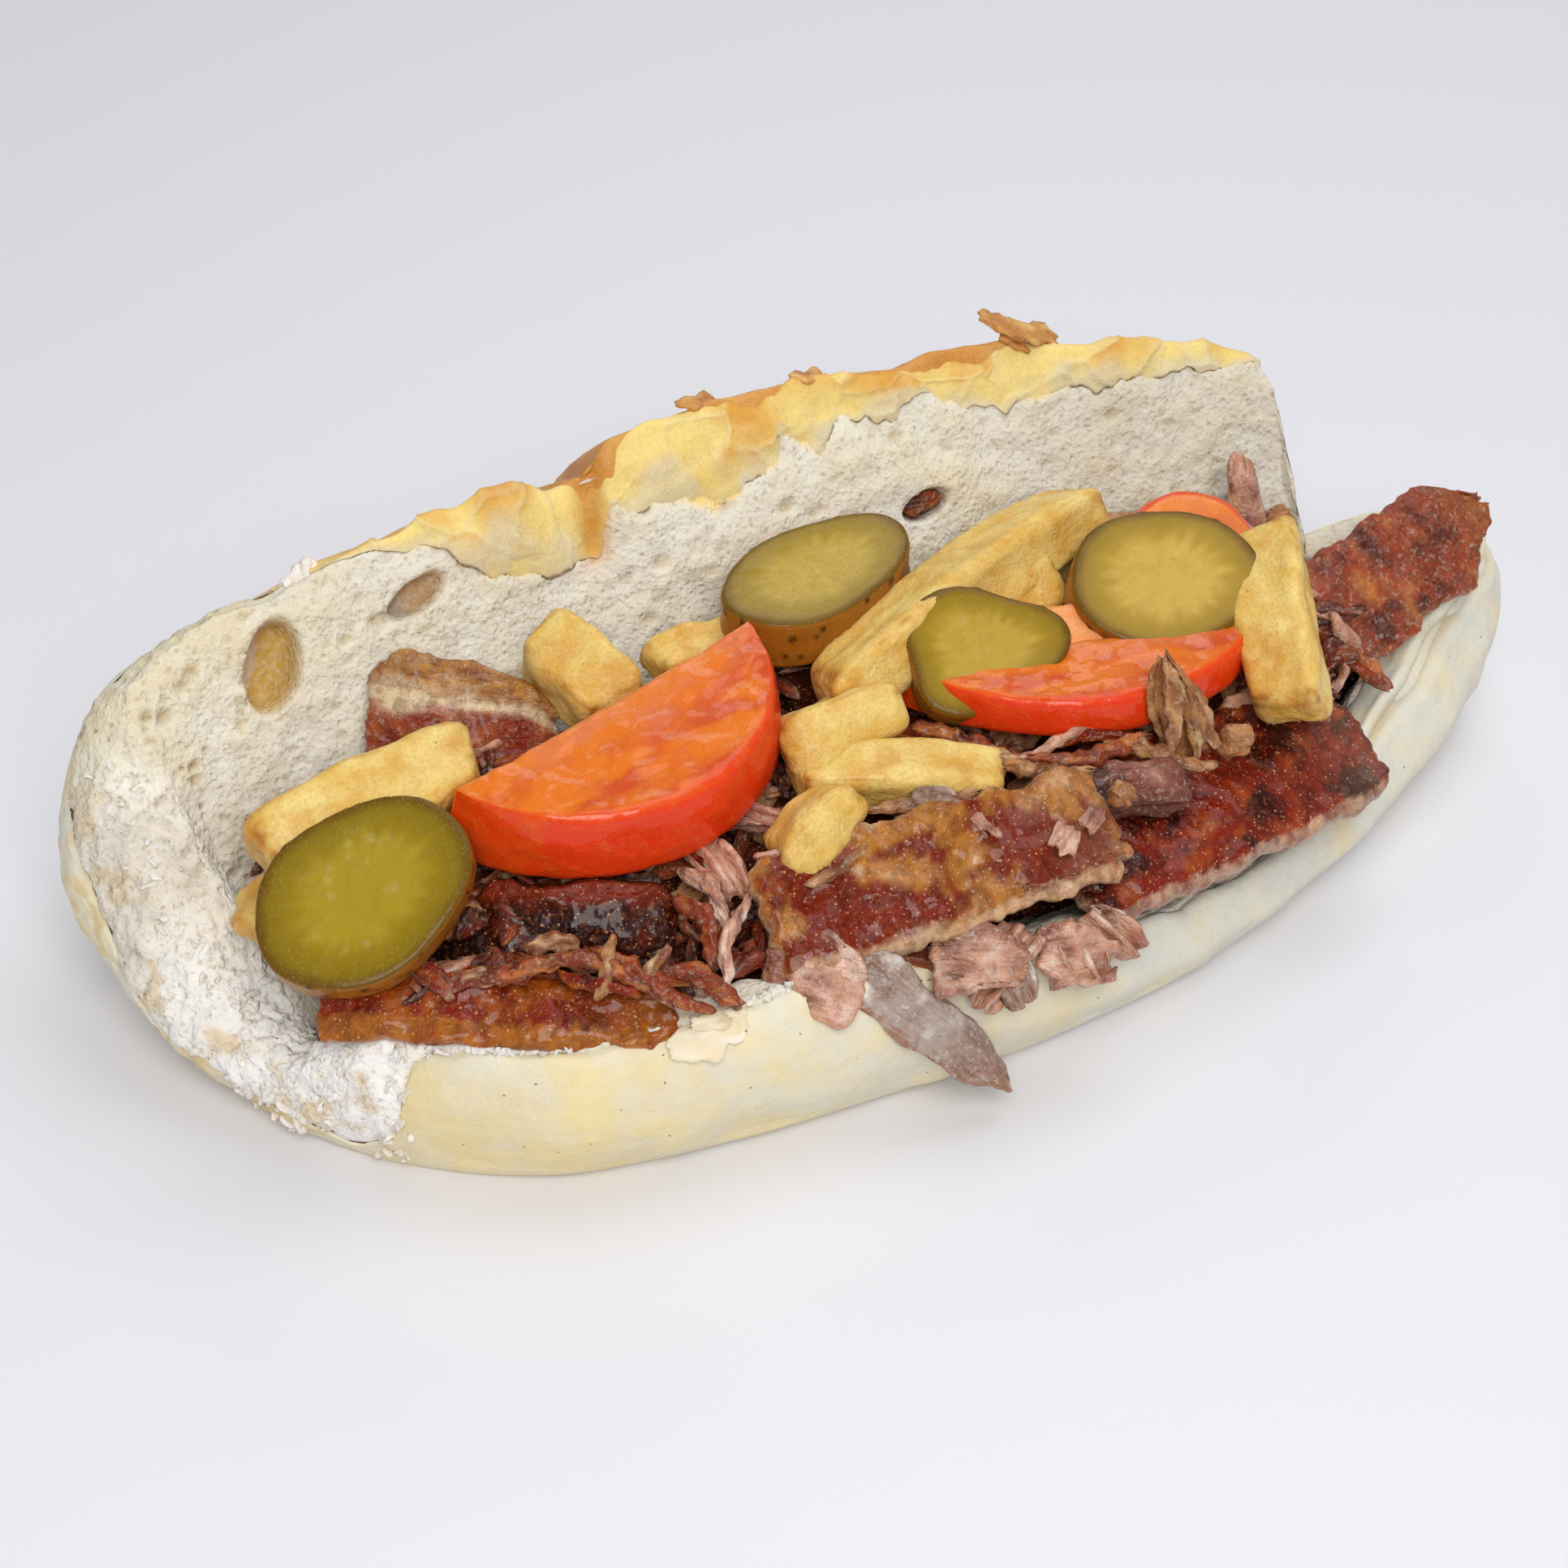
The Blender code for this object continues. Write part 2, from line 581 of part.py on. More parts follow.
def heap_point(turn: float, zone: str, place: float) -> Vector:
    """Places one point of the heap's skin, which follows the hollow of the loaf below."""
    station = station_at(turn)
    bottom = CRUMB_FLOOR + HEAP_GAP
    shore = beside(station, station.section.knee - HEAP_GAP, 0.0)
    shore.z = min(station.section.knee_z, heap_height(shore.x, shore.y)) + 1.0
    pole = Vector((0.0, POLE_Y, bottom))
    edge = pole.lerp(Vector((shore.x, shore.y, bottom)), HEAP_FOOT)
    if zone == "sole":
        return pole.lerp(edge, place)
    if zone == "wall":
        return edge.lerp(shore, place)
    top = shore.lerp(pole, place)
    rise = min(1.0, place * 6.0)
    height = heap_height(top.x, top.y)
    top.z = shore.z + (height - shore.z) * rise if zone == "floor" else top.z
    return top


def shred_slices() -> list[Slice]:
    """Scatters meat shreds over the heap, by a seeded draw."""
    rng = random.Random(SEED)
    shreds = []
    for index in range(SHREDS):
        x = SHRED_LEFT + SHRED_RUN * (index + rng.random()) / SHREDS
        front = SHRED_FRONT + 0.25 * max(0.0, x - 20.0)
        y = rng.uniform(front, SHRED_BACK)
        z = heap_height(x, y) + rng.uniform(0.0, 1.5)
        heading = rng.uniform(-SHRED_HEADING, SHRED_HEADING)
        length = rng.uniform(*SHRED_LENGTH)
        step = Vector((math.cos(heading), math.sin(heading), rng.uniform(-0.15, 0.2))) * length / 2
        middle = Vector((x, y, z))
        shreds.append(Slice(
            f"shred_{index}", tuple(middle - step), tuple(middle + step),
            (rng.uniform(-0.5, 0.5), rng.uniform(-0.8, 0.2), 0.8),
            rng.uniform(*SHRED_WIDTH), rng.uniform(*SHRED_THICK), rng.uniform(*SHRED_ARCH),
            0.6, 0.5, MEAT_GOLD, (3, 0),
        ))
    return shreds


def closed_triangles(mesh: bpy.types.Mesh):
    """Cuts a mesh into triangles and returns them where every edge joins exactly two faces."""
    for method in ("BEAUTY", "EAR_CLIP"):
        bm = bmesh.new()
        bm.from_mesh(mesh)
        bmesh.ops.dissolve_verts(bm, verts=[v for v in bm.verts if len(v.link_edges) == 2])
        bmesh.ops.triangulate(bm, faces=bm.faces[:], ngon_method=method)
        if len(bm.faces) > 3 and all(len(edge.link_faces) == 2 for edge in bm.edges):
            return bm
        bm.free()
    return None


def apply_boolean(target, operation: str, cutter=None, collection=None) -> None:
    """Applies one Boolean to a piece, by the other solver where the first leaves it open."""
    for solver in ("EXACT", "MANIFOLD"):
        modifier = target.modifiers.new("fit", "BOOLEAN")
        modifier.operation = operation
        modifier.solver = solver
        if collection is not None:
            modifier.operand_type = "COLLECTION"
            modifier.collection = collection
        else:
            modifier.object = cutter
        graph = bpy.context.evaluated_depsgraph_get()
        result = closed_triangles(bpy.data.meshes.new_from_object(target.evaluated_get(graph)))
        target.modifiers.clear()
        if result is not None:
            result.to_mesh(target.data)
            result.free()
            return


def keep_largest(item) -> None:
    """Drops loose scraps and keeps the largest body of a piece."""
    bm = bmesh.new()
    bm.from_mesh(item.data)
    unseen = set(bm.faces)
    bodies = []
    while unseen:
        stack = [unseen.pop()]
        body = set(stack)
        while stack:
            for edge in stack.pop().edges:
                for face in edge.link_faces:
                    if face in unseen:
                        unseen.discard(face)
                        body.add(face)
                        stack.append(face)
        bodies.append(body)
    largest = max(bodies, key=len)
    bmesh.ops.delete(bm, geom=[f for f in bm.faces if f not in largest], context="FACES")
    bm.to_mesh(item.data)
    bm.free()


def neighbours(vert) -> set:
    """Returns the vertices that share an edge with this one."""
    return {edge.other_vert(vert) for edge in vert.link_edges}


def mend_face(bm: bmesh.types.BMesh, face) -> None:
    """Closes up one needle-thin triangle: merges its short side, or turns its long one."""
    short, _, long = sorted(face.edges, key=lambda edge: edge.calc_length())
    shared = neighbours(short.verts[0]) & neighbours(short.verts[1])
    if short.calc_length() < SHORT_EDGE * MM:
        if len(shared) == 2:
            bmesh.ops.collapse(bm, edges=[short])
        return
    far = [next(v for v in side.verts if v not in long.verts) for side in long.link_faces]
    if far[0] not in neighbours(far[1]):
        bmesh.utils.edge_rotate(long, False)


def mend_slivers(item) -> None:
    """Mends the hair-thin triangles that fitting leaves, as far as the piece stays closed."""
    for _ in range(MEND_PASSES):
        bm = bmesh.new()
        bm.from_mesh(item.data)
        thin = []
        for face in bm.faces:
            longest = max(edge.calc_length() for edge in face.edges)
            if 2.0 * face.calc_area() < THIN_FACE * MM * longest:
                thin.append(face)
        for face in thin:
            if face.is_valid:
                mend_face(bm, face)
        closed = all(len(edge.link_faces) == 2 for edge in bm.edges)
        if thin and closed:
            bm.to_mesh(item.data)
        bm.free()
        if not thin or not closed:
            return


def tree_of(item) -> BVHTree:
    """Builds a search tree of a piece's faces."""
    bm = bmesh.new()
    bm.from_mesh(item.data)
    tree = BVHTree.FromBMesh(bm)
    bm.free()
    return tree


def clear_of(lower, upper, cutters) -> None:
    """Cuts a lower piece so that it stays a hair clear of one that lies on it."""
    bm = bmesh.new()
    bm.from_mesh(upper.data)
    bm.normal_update()
    for vert in bm.verts:
        vert.co += vert.normal * PIECE_GAP * MM
    swollen = add_object("swollen", bm, cutters)
    if tree_of(lower).overlap(tree_of(swollen)):
        apply_boolean(lower, "DIFFERENCE", cutter=swollen)
        keep_largest(lower)
    bpy.data.objects.remove(swollen)


class Pore(NamedTuple):
    """A large bubble in the crumb, opened by the tear: its middle and its half sizes."""

    centre: tuple[float, float, float]
    radii: tuple[float, float, float]


PORES = (
    Pore((-90.0, 39.5, 51.0), (6.0, 4.0, 6.0)),
    Pore((-65.0, 40.5, 54.0), (4.6, 3.5, 2.8)),
    Pore((23.0, 37.5, 47.0), (4.0, 3.0, 2.4)),
)

# The corner of crust that stands up from the torn rim.
CRUST_FLAP = Slice(
    "crust_flap", (55, 49.5, 65), (40.5, 53.3, 71.8), (0.1, -0.3, 0.9), 5, 1.4, 0.4, 0.3, 0.85, CRUST, (5, 1)
)


def build_loaf(collection, cutters):
    """Models the opened loaf as one skin from its sole, over the rim, to its crumb floor."""
    bm = bmesh.new()
    rings = [("sole", p) for p in SOLE_RINGS] + [("wall", p) for p in WALL_RINGS]
    rings += [("floor", p) for p in FLOOR_RINGS]
    mapped_sphere(bm, COLUMNS, rings, loaf_point)
    loaf = add_object("bread", bm, collection, principled("bread", CRUST, 0.75))
    for pore in PORES:
        bubble_mesh = bmesh.new()
        bmesh.ops.create_uvsphere(bubble_mesh, u_segments=BUBBLE_SIDES, v_segments=BUBBLE_RINGS, radius=1.0)
        for vert in bubble_mesh.verts:
            vert.co = Vector(pore.centre) * MM + Vector(a * b for a, b in zip(vert.co, pore.radii)) * MM
        bubble = add_object("bubble", bubble_mesh, cutters)
        apply_boolean(loaf, "DIFFERENCE", cutter=bubble)
        bpy.data.objects.remove(bubble)
    flap = add_object(CRUST_FLAP.name, slice_bmesh(CRUST_FLAP), cutters)
    apply_boolean(loaf, "UNION", cutter=flap)
    bpy.data.objects.remove(flap)
    return loaf


def build_heap(collection, cutters):
    """Models the heap of meat as one body: a core with the shreds that show fused on."""
    bm = bmesh.new()
    rings = [("sole", 0.6), ("wall", 0.0), ("wall", 0.5), ("wall", 1.0)]
    rings += [("floor", p) for p in (0.16, 0.32, 0.48, 0.66, 0.85)]
    mapped_sphere(bm, HEAP_COLUMNS, rings, heap_point)
    heap = add_object("meat_heap", bm, collection, principled("meat_heap", MEAT_GOLD, 0.45))
    shreds = bpy.data.collections.new("shreds")
    cutters.children.link(shreds)
    for shred in shred_slices():
        add_object(shred.name, slice_bmesh(shred), shreds)
    apply_boolean(heap, "UNION", collection=shreds)
    for item in list(shreds.objects):
        bpy.data.objects.remove(item)
    keep_largest(heap)
    return heap


def build_pieces(collection) -> list:
    """Models the pieces of the filling in the order that they lie, lowest first."""
    pieces = []
    for cut in SLICES:
        material = principled(cut.name, cut.colour, 0.4)
        pieces.append(add_object(cut.name, slice_bmesh(cut), collection, material))
    for fry in FRIES:
        pieces.append(add_object(fry.name, fry_bmesh(fry), collection, principled(fry.name, FRY, 0.5)))
    for wedge in TOMATOES:
        material = principled(wedge.name, TOMATO, 0.25)
        pieces.append(add_object(wedge.name, tomato_bmesh(wedge), collection, material))
    for piece in PICKLES:
        material = principled(piece.name, PICKLE, 0.3)
        pieces.append(add_object(piece.name, pickle_bmesh(piece), collection, material))
    return pieces


def main() -> None:
    """Builds the sandwich: loaf, heap, then each piece, fitted clear of one another."""
    for item in list(bpy.data.objects):
        bpy.data.objects.remove(item)
    sandwich = bpy.data.collections.new(NAME)
    cutters = bpy.data.collections.new("cutters")
    bpy.context.scene.collection.children.link(sandwich)
    bpy.context.scene.collection.children.link(cutters)
    loaf = build_loaf(sandwich, cutters)
    heap = build_heap(sandwich, cutters)
    pieces = build_pieces(sandwich)
    layers = [loaf, heap] + pieces
    for low, lower in enumerate(layers):
        for upper in layers[low + 1:]:
            clear_of(lower, upper, cutters)
        mend_slivers(lower)


if __name__ == "__main__":
    main()
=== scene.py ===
"""Doner kebab sandwich: the finished look of a soft loaf, torn open on its back hinge and filled
with sliced and shredded meat, fries, tomato and pickle.

Sizes are in millimetres and are scaled to metres when a mesh is written. X runs along the loaf, -Y is
the open front and +Z is up.
"""
import logging
import math
import random
from dataclasses import dataclass, field
from enum import Enum
from functools import cache
from typing import Callable, NamedTuple

import bmesh
import bpy
from mathutils import Matrix, Vector, noise


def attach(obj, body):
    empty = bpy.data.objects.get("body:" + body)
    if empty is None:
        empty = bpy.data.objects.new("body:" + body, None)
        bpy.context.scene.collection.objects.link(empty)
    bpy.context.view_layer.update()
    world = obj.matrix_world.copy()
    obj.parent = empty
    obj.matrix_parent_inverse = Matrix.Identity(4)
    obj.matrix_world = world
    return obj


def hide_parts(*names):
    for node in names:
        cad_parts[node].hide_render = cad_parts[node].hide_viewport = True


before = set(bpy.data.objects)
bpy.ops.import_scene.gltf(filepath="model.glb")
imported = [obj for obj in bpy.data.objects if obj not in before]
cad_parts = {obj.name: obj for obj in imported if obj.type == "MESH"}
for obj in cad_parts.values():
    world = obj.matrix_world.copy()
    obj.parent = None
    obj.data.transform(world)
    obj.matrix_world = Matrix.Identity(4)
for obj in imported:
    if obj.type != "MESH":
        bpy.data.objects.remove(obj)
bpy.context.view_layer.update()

LOG = logging.getLogger("doner_kebab_sandwich")

MM = 0.001
SAME_SPOT = 1e-4
BODY = "root"

Colour = tuple[float, float, float]
Triple = tuple[float, float, float]
Pairs = list[tuple[float, float]]


def tint(code: str) -> Colour:
    """Turns a six-digit display colour into linear light."""
    parts = (int(code[i:i + 2], 16) / 255.0 for i in (0, 2, 4))
    return tuple(p / 12.92 if p <= 0.04045 else ((p + 0.055) / 1.055) ** 2.4 for p in parts)


def blend(first: Colour, second: Colour, share: float) -> Colour:
    """Mixes two colours; a share of 1 gives the second."""
    share = max(0.0, min(1.0, share))
    return tuple(a + (b - a) * share for a, b in zip(first, second))


def ease(low: float, high: float, value: float) -> float:
    """Rises smoothly from 0 at low to 1 at high, or falls where low is above high."""
    t = max(0.0, min(1.0, (value - low) / (high - low)))
    return t * t * (3.0 - 2.0 * t)


def hump(middle: float, spread: float, value: float) -> float:
    """Rises to 1 at the middle and fades out round it."""
    return math.exp(-(((value - middle) / spread) ** 2))


def grain(point: Vector, size: float, octaves: int = 3, shift: float = 0.0) -> float:
    """Reads layered noise of a given size.

    Args:
        point: Where to read.
        size: Size of the largest lumps.
        octaves: How many layers of noise are laid over each other.
        shift: Moves the noise, so that two readings differ.

    Returns:
        The noise, about -1 to 1.
    """
    total, weight, reach = 0.0, 1.0, 0.0
    place = point / size + Vector((shift, 1.7 * shift, -shift))
    for _ in range(octaves):
        total += weight * noise.noise(place)
        reach += weight
        weight *= 0.55
        place = place * 2.03
    return 1.5 * total / reach


def pits(point: Vector, size: float, chance: float) -> float:
    """Reads how deep a scatter of round pits is at a point.

    Args:
        point: Where to read.
        size: Mean spacing of the pits.
        chance: Share of the cells that hold a pit.

    Returns:
        0 between the pits and up to 1 at the middle of one.
    """
    spans, centres = noise.voronoi(point / size)
    if 0.5 + 0.5 * noise.cell(centres[0] * 7.3) > chance:
        return 0.0
    radius = 0.28 + 0.3 * abs(noise.noise(centres[0] * 2.7))
    return ease(radius, radius * 0.3, spans[0])


def spaced(low: float, high: float, count: int) -> list[float]:
    """Lists evenly spaced places from low up to, but not including, high."""
    return [low + (high - low) * i / count for i in range(count)]


class Span(NamedTuple):
    """A stretch over which something sets in, holds and fades out."""

    start: float
    full: float
    fade: float
    end: float

    def at(self, value: float) -> float:
        """Gives how much of it there is at a value, 0 to 1."""
        return ease(self.start, self.full, value) * ease(self.end, self.fade, value)

    def past_zero(self, turn: float) -> float:
        """Gives the same for a stretch that runs on over turn 0."""
        return max(ease(self.start, self.full, turn), ease(self.end, self.fade, turn))


def added(name: str, data: bpy.types.ID) -> bpy.types.Object:
    """Adds an object with the given data to the scene.

    Args:
        name: The object's name.
        data: Its mesh, light or camera.

    Returns:
        The new object.
    """
    item = bpy.data.objects.new(name, data)
    bpy.context.scene.collection.objects.link(item)
    return item


# ------------ finishes


class Pattern(Enum):
    """The kinds of small pattern that a finish lays over a piece's own colours."""

    NOISE = "noise"
    CELLS = "cells"
    FIBRES = "fibres"


@dataclass(frozen=True)
class Layer:
    """One small pattern: its size in mm, where it sets in, and what it does to the surface."""

    pattern: Pattern
    size: float
    low: float
    high: float
    colour: str = ""
    strength: float = 0.0
    height: float = 0.0
    gloss: float = 0.0


class Graph:
    """A material while its nodes are being wired."""

    FIBRE_STRETCH = 0.12

    def __init__(self, name: str) -> None:
        """Starts a material with its one shader.

        Args:
            name: The material's name.
        """
        self.material = bpy.data.materials.new(name)
        self.material.use_nodes = True
        self.tree = self.material.node_tree
        self.shader = self.tree.nodes["Principled BSDF"]

    def put(self, socket: bpy.types.NodeSocket, value: object) -> None:
        """Sets a socket to a value, or links another socket to it.

        Args:
            socket: The input to set.
            value: A plain value, or an output to link.
        """
        if isinstance(value, bpy.types.NodeSocket):
            self.tree.links.new(value, socket)
        else:
            socket.default_value = value

    def add(self, kind: str, settings: dict | None = None, **inputs: object) -> bpy.types.Node:
        """Adds a node.

        Args:
            kind: The node's type.
            settings: Its options by name.
            inputs: Its inputs by name, with underscores for spaces.

        Returns:
            The node.
        """
        node = self.tree.nodes.new(kind)
        for key, value in (settings or {}).items():
            setattr(node, key, value)
        for key, value in inputs.items():
            self.put(node.inputs[key.replace("_", " ")], value)
        return node

    def scaled(self, source: bpy.types.NodeSocket, scale: Triple) -> bpy.types.NodeSocket:
        """Multiplies a vector by a scale.

        Args:
            source: The vector's output.
            scale: A factor for each axis.

        Returns:
            The product's output.
        """
        node = self.add("ShaderNodeVectorMath", {"operation": "MULTIPLY"})
        self.put(node.inputs[0], source)
        node.inputs[1].default_value = scale
        return node.outputs[0]

    def mask(self, layer: Layer) -> bpy.types.NodeSocket:
        """Reads a layer's pattern as a value from 0 to 1.

        Args:
            layer: The layer to read.

        Returns:
            The value's output.
        """
        inverse = 1.0 / layer.size
        if layer.pattern is Pattern.FIBRES:
            source = self.add("ShaderNodeAttribute", {"attribute_name": "local"}).outputs["Vector"]
            vector = self.scaled(source, (self.FIBRE_STRETCH * inverse, inverse, inverse))
        else:
            source = self.add("ShaderNodeTexCoord").outputs["Object"]
            vector = self.scaled(source, (inverse / MM,) * 3)
        if layer.pattern is Pattern.CELLS:
            value = self.add("ShaderNodeTexVoronoi", Vector=vector, Scale=1.0).outputs["Distance"]
        else:
            node = self.add("ShaderNodeTexNoise", Vector=vector, Scale=1.0, Detail=3.0, Roughness=0.6)
            value = node.outputs[0]
        node = self.add(
            "ShaderNodeMapRange", {"interpolation_type": "SMOOTHSTEP"},
            Value=value, From_Min=layer.low, From_Max=layer.high,
        )
        return node.outputs[0]

    def mixed(self, share: object, first: object, second: object) -> bpy.types.NodeSocket:
        """Mixes two colours by a share.

        Args:
            share: How much of the second there is.
            first: A colour or an output.
            second: A colour or an output.

        Returns:
            The mixed colour's output.
        """
        node = self.add("ShaderNodeMix", {"data_type": "RGBA"})
        for index, value in zip((0, 6, 7), (share, first, second)):
            self.put(node.inputs[index], value)
        return node.outputs[2]

    def times(self, value: bpy.types.NodeSocket, by: float, plus: object = 0.0) -> bpy.types.NodeSocket:
        """Multiplies a value and adds to it.

        Args:
            value: The value's output.
            by: The factor.
            plus: What is added, as a number or an output.

        Returns:
            The sum's output.
        """
        node = self.add("ShaderNodeMath", {"operation": "MULTIPLY_ADD"})
        for socket, given in zip(node.inputs, (value, by, plus)):
            self.put(socket, given)
        return node.outputs[0]


@dataclass(frozen=True)
class Finish:
    """A food surface: its gloss, its depth of light and the patterns over its own colours."""

    name: str
    roughness: float
    layers: tuple[Layer, ...]
    subsurface: float = 0.0
    reach: float = 1.0
    warmth: Triple = (1.0, 0.5, 0.25)
    coat: float = 0.0
    coat_roughness: float = 0.1
    specular: float = 0.5

    @cache
    def material(self) -> bpy.types.Material:
        """Wires the material once: the mesh's own tone, then each layer's colour, gloss and height.

        Returns:
            The material.
        """
        graph = Graph(self.name)
        shader = graph.shader
        colour = graph.add("ShaderNodeAttribute", {"attribute_name": "tone"}).outputs["Color"]
        roughness: object = self.roughness
        normal = None
        for layer in self.layers:
            mask = graph.mask(layer)
            if layer.strength:
                colour = graph.mixed(graph.times(mask, layer.strength), colour, (*tint(layer.colour), 1.0))
            if layer.gloss:
                roughness = graph.times(mask, layer.gloss, roughness)
            if layer.height:
                node = graph.add("ShaderNodeBump", Height=mask, Distance=layer.height * MM)
                if normal is not None:
                    graph.put(node.inputs["Normal"], normal)
                normal = node.outputs[0]
        if normal is not None:
            graph.put(shader.inputs["Normal"], normal)
        for socket, value in (
            ("Base Color", colour),
            ("Roughness", roughness),
            ("Subsurface Weight", self.subsurface),
            ("Subsurface Radius", self.warmth),
            ("Subsurface Scale", self.reach * MM),
            ("Coat Weight", self.coat),
            ("Coat Roughness", self.coat_roughness),
            ("Specular IOR Level", self.specular),
        ):
            graph.put(shader.inputs[socket], value)
        return graph.material


CRUMB = Finish(
    "soft_crumb", 0.9,
    (
        Layer(Pattern.NOISE, 1.1, 0.35, 0.7, "FFFCF6", strength=0.2, height=0.16),
        Layer(Pattern.CELLS, 1.2, 0.1, 0.5, height=0.14),
        # Painted shade: darker cells stand in for the shade in the crumb's pores.
        Layer(Pattern.CELLS, 1.7, 0.34, 0.1, "B39C78", strength=0.4),
    ),
    subsurface=0.2, reach=1.2, warmth=(1.0, 0.8, 0.55), specular=0.12,
)
CRUST = Finish(
    "baked_crust", 0.5,
    (
        Layer(Pattern.NOISE, 4.0, 0.35, 0.7, "B9803C", strength=0.08, height=0.12),
        Layer(Pattern.NOISE, 0.8, 0.3, 0.75, "FFF6DC", strength=0.1, height=0.04, gloss=0.08),
        Layer(Pattern.CELLS, 3.9, 0.062, 0.04, "3A2A18", strength=0.7),
    ),
    subsurface=0.15, reach=1.6, warmth=(1.0, 0.7, 0.4), coat=0.08, coat_roughness=0.3, specular=0.3,
)
SHEET = Finish(
    "torn_sheet", 0.55,
    (
        Layer(Pattern.NOISE, 2.6, 0.35, 0.7, "FFEAB4", strength=0.14, height=0.1),
        Layer(Pattern.NOISE, 0.7, 0.4, 0.75, "D9A04A", strength=0.2, height=0.05),
    ),
    subsurface=0.3, reach=2.0, warmth=(1.0, 0.75, 0.4), specular=0.25,
)
FRIED = Finish(
    "fried_potato", 0.4,
    (
        Layer(Pattern.NOISE, 2.2, 0.42, 0.72, "F8E69A", strength=0.3, height=0.1),
        Layer(Pattern.NOISE, 4.5, 0.48, 0.68, "D6962E", strength=0.28),
        Layer(Pattern.NOISE, 0.6, 0.4, 0.75, "C98A24", strength=0.24, height=0.08, gloss=0.1),
        Layer(Pattern.CELLS, 6.0, 0.05, 0.03, "8A5A1E", strength=0.5),
    ),
    subsurface=0.25, reach=2.4, warmth=(1.0, 0.7, 0.2), coat=0.15, coat_roughness=0.2, specular=0.3,
)
TOMATO = Finish(
    "wet_tomato", 0.26,
    (
        Layer(Pattern.NOISE, 1.8, 0.45, 0.75, "EE8A1E", strength=0.16, height=0.08),
        Layer(Pattern.NOISE, 0.45, 0.55, 0.74, "F6A860", strength=0.14, height=0.05, gloss=0.1),
    ),
    subsurface=0.1, reach=2.0, warmth=(1.0, 0.25, 0.05), coat=0.35, coat_roughness=0.04, specular=0.2,
)
PICKLE = Finish(
    "wet_pickle", 0.24,
    (
        Layer(Pattern.NOISE, 0.35, 0.55, 0.7, "D8C070", strength=0.25, height=0.04, gloss=0.05),
        Layer(Pattern.NOISE, 2.8, 0.4, 0.7, "7E6410", strength=0.14, height=0.05),
    ),
    subsurface=0.15, reach=2.0, warmth=(1.0, 0.75, 0.1), coat=0.07, coat_roughness=0.06, specular=0.16,
)
MEAT = Finish(
    "browned_meat", 0.2,
    (
        Layer(Pattern.NOISE, 2.4, 0.4, 0.7, "2A0804", strength=0.4, height=0.2, gloss=0.1),
        Layer(Pattern.NOISE, 0.8, 0.5, 0.72, "C06A2C", strength=0.3, height=0.1, gloss=0.1),
        Layer(Pattern.CELLS, 0.7, 0.05, 0.5, height=0.06),
        # These two pale cell layers are painted glints: bright specks in the colour that stand in for the wet
        # meat's sparkle, partly also crumbs.
        Layer(Pattern.CELLS, 1.5, 0.18, 0.08, "EEB880", strength=0.5),
        Layer(Pattern.CELLS, 0.9, 0.2, 0.08, "F4CCA0", strength=0.45),
    ),
    subsurface=0.04, reach=1.0, warmth=(1.0, 0.3, 0.15), coat=0.3, coat_roughness=0.1, specular=0.15,
)
FIBROUS = Finish(
    "shredded_meat", 0.24,
    (
        Layer(Pattern.NOISE, 2.2, 0.42, 0.62, "6A2A16", strength=0.45, height=0.15),
        Layer(Pattern.NOISE, 0.9, 0.52, 0.68, "E8CDB4", strength=0.3, height=0.1, gloss=0.1),
        Layer(Pattern.FIBRES, 0.5, 0.35, 0.65, "E0B8A0", strength=0.06, height=0.1),
    ),
    subsurface=0.2, reach=1.5, warmth=(1.0, 0.35, 0.2), coat=0.22, coat_roughness=0.12, specular=0.2,
)
MOIST = Finish(
    "moist_meat", 0.2,
    (
        Layer(Pattern.NOISE, 3.4, 0.42, 0.66, "8A4E36", strength=0.3, height=0.3),
        Layer(Pattern.NOISE, 1.0, 0.52, 0.7, "F4E6DE", strength=0.34, height=0.1, gloss=0.1),
        Layer(Pattern.FIBRES, 0.6, 0.35, 0.65, "F0DCD0", strength=0.16, height=0.12),
    ),
    subsurface=0.3, reach=2.0, warmth=(1.0, 0.45, 0.3), coat=0.35, coat_roughness=0.08, specular=0.4,
)


# ------------ meshes


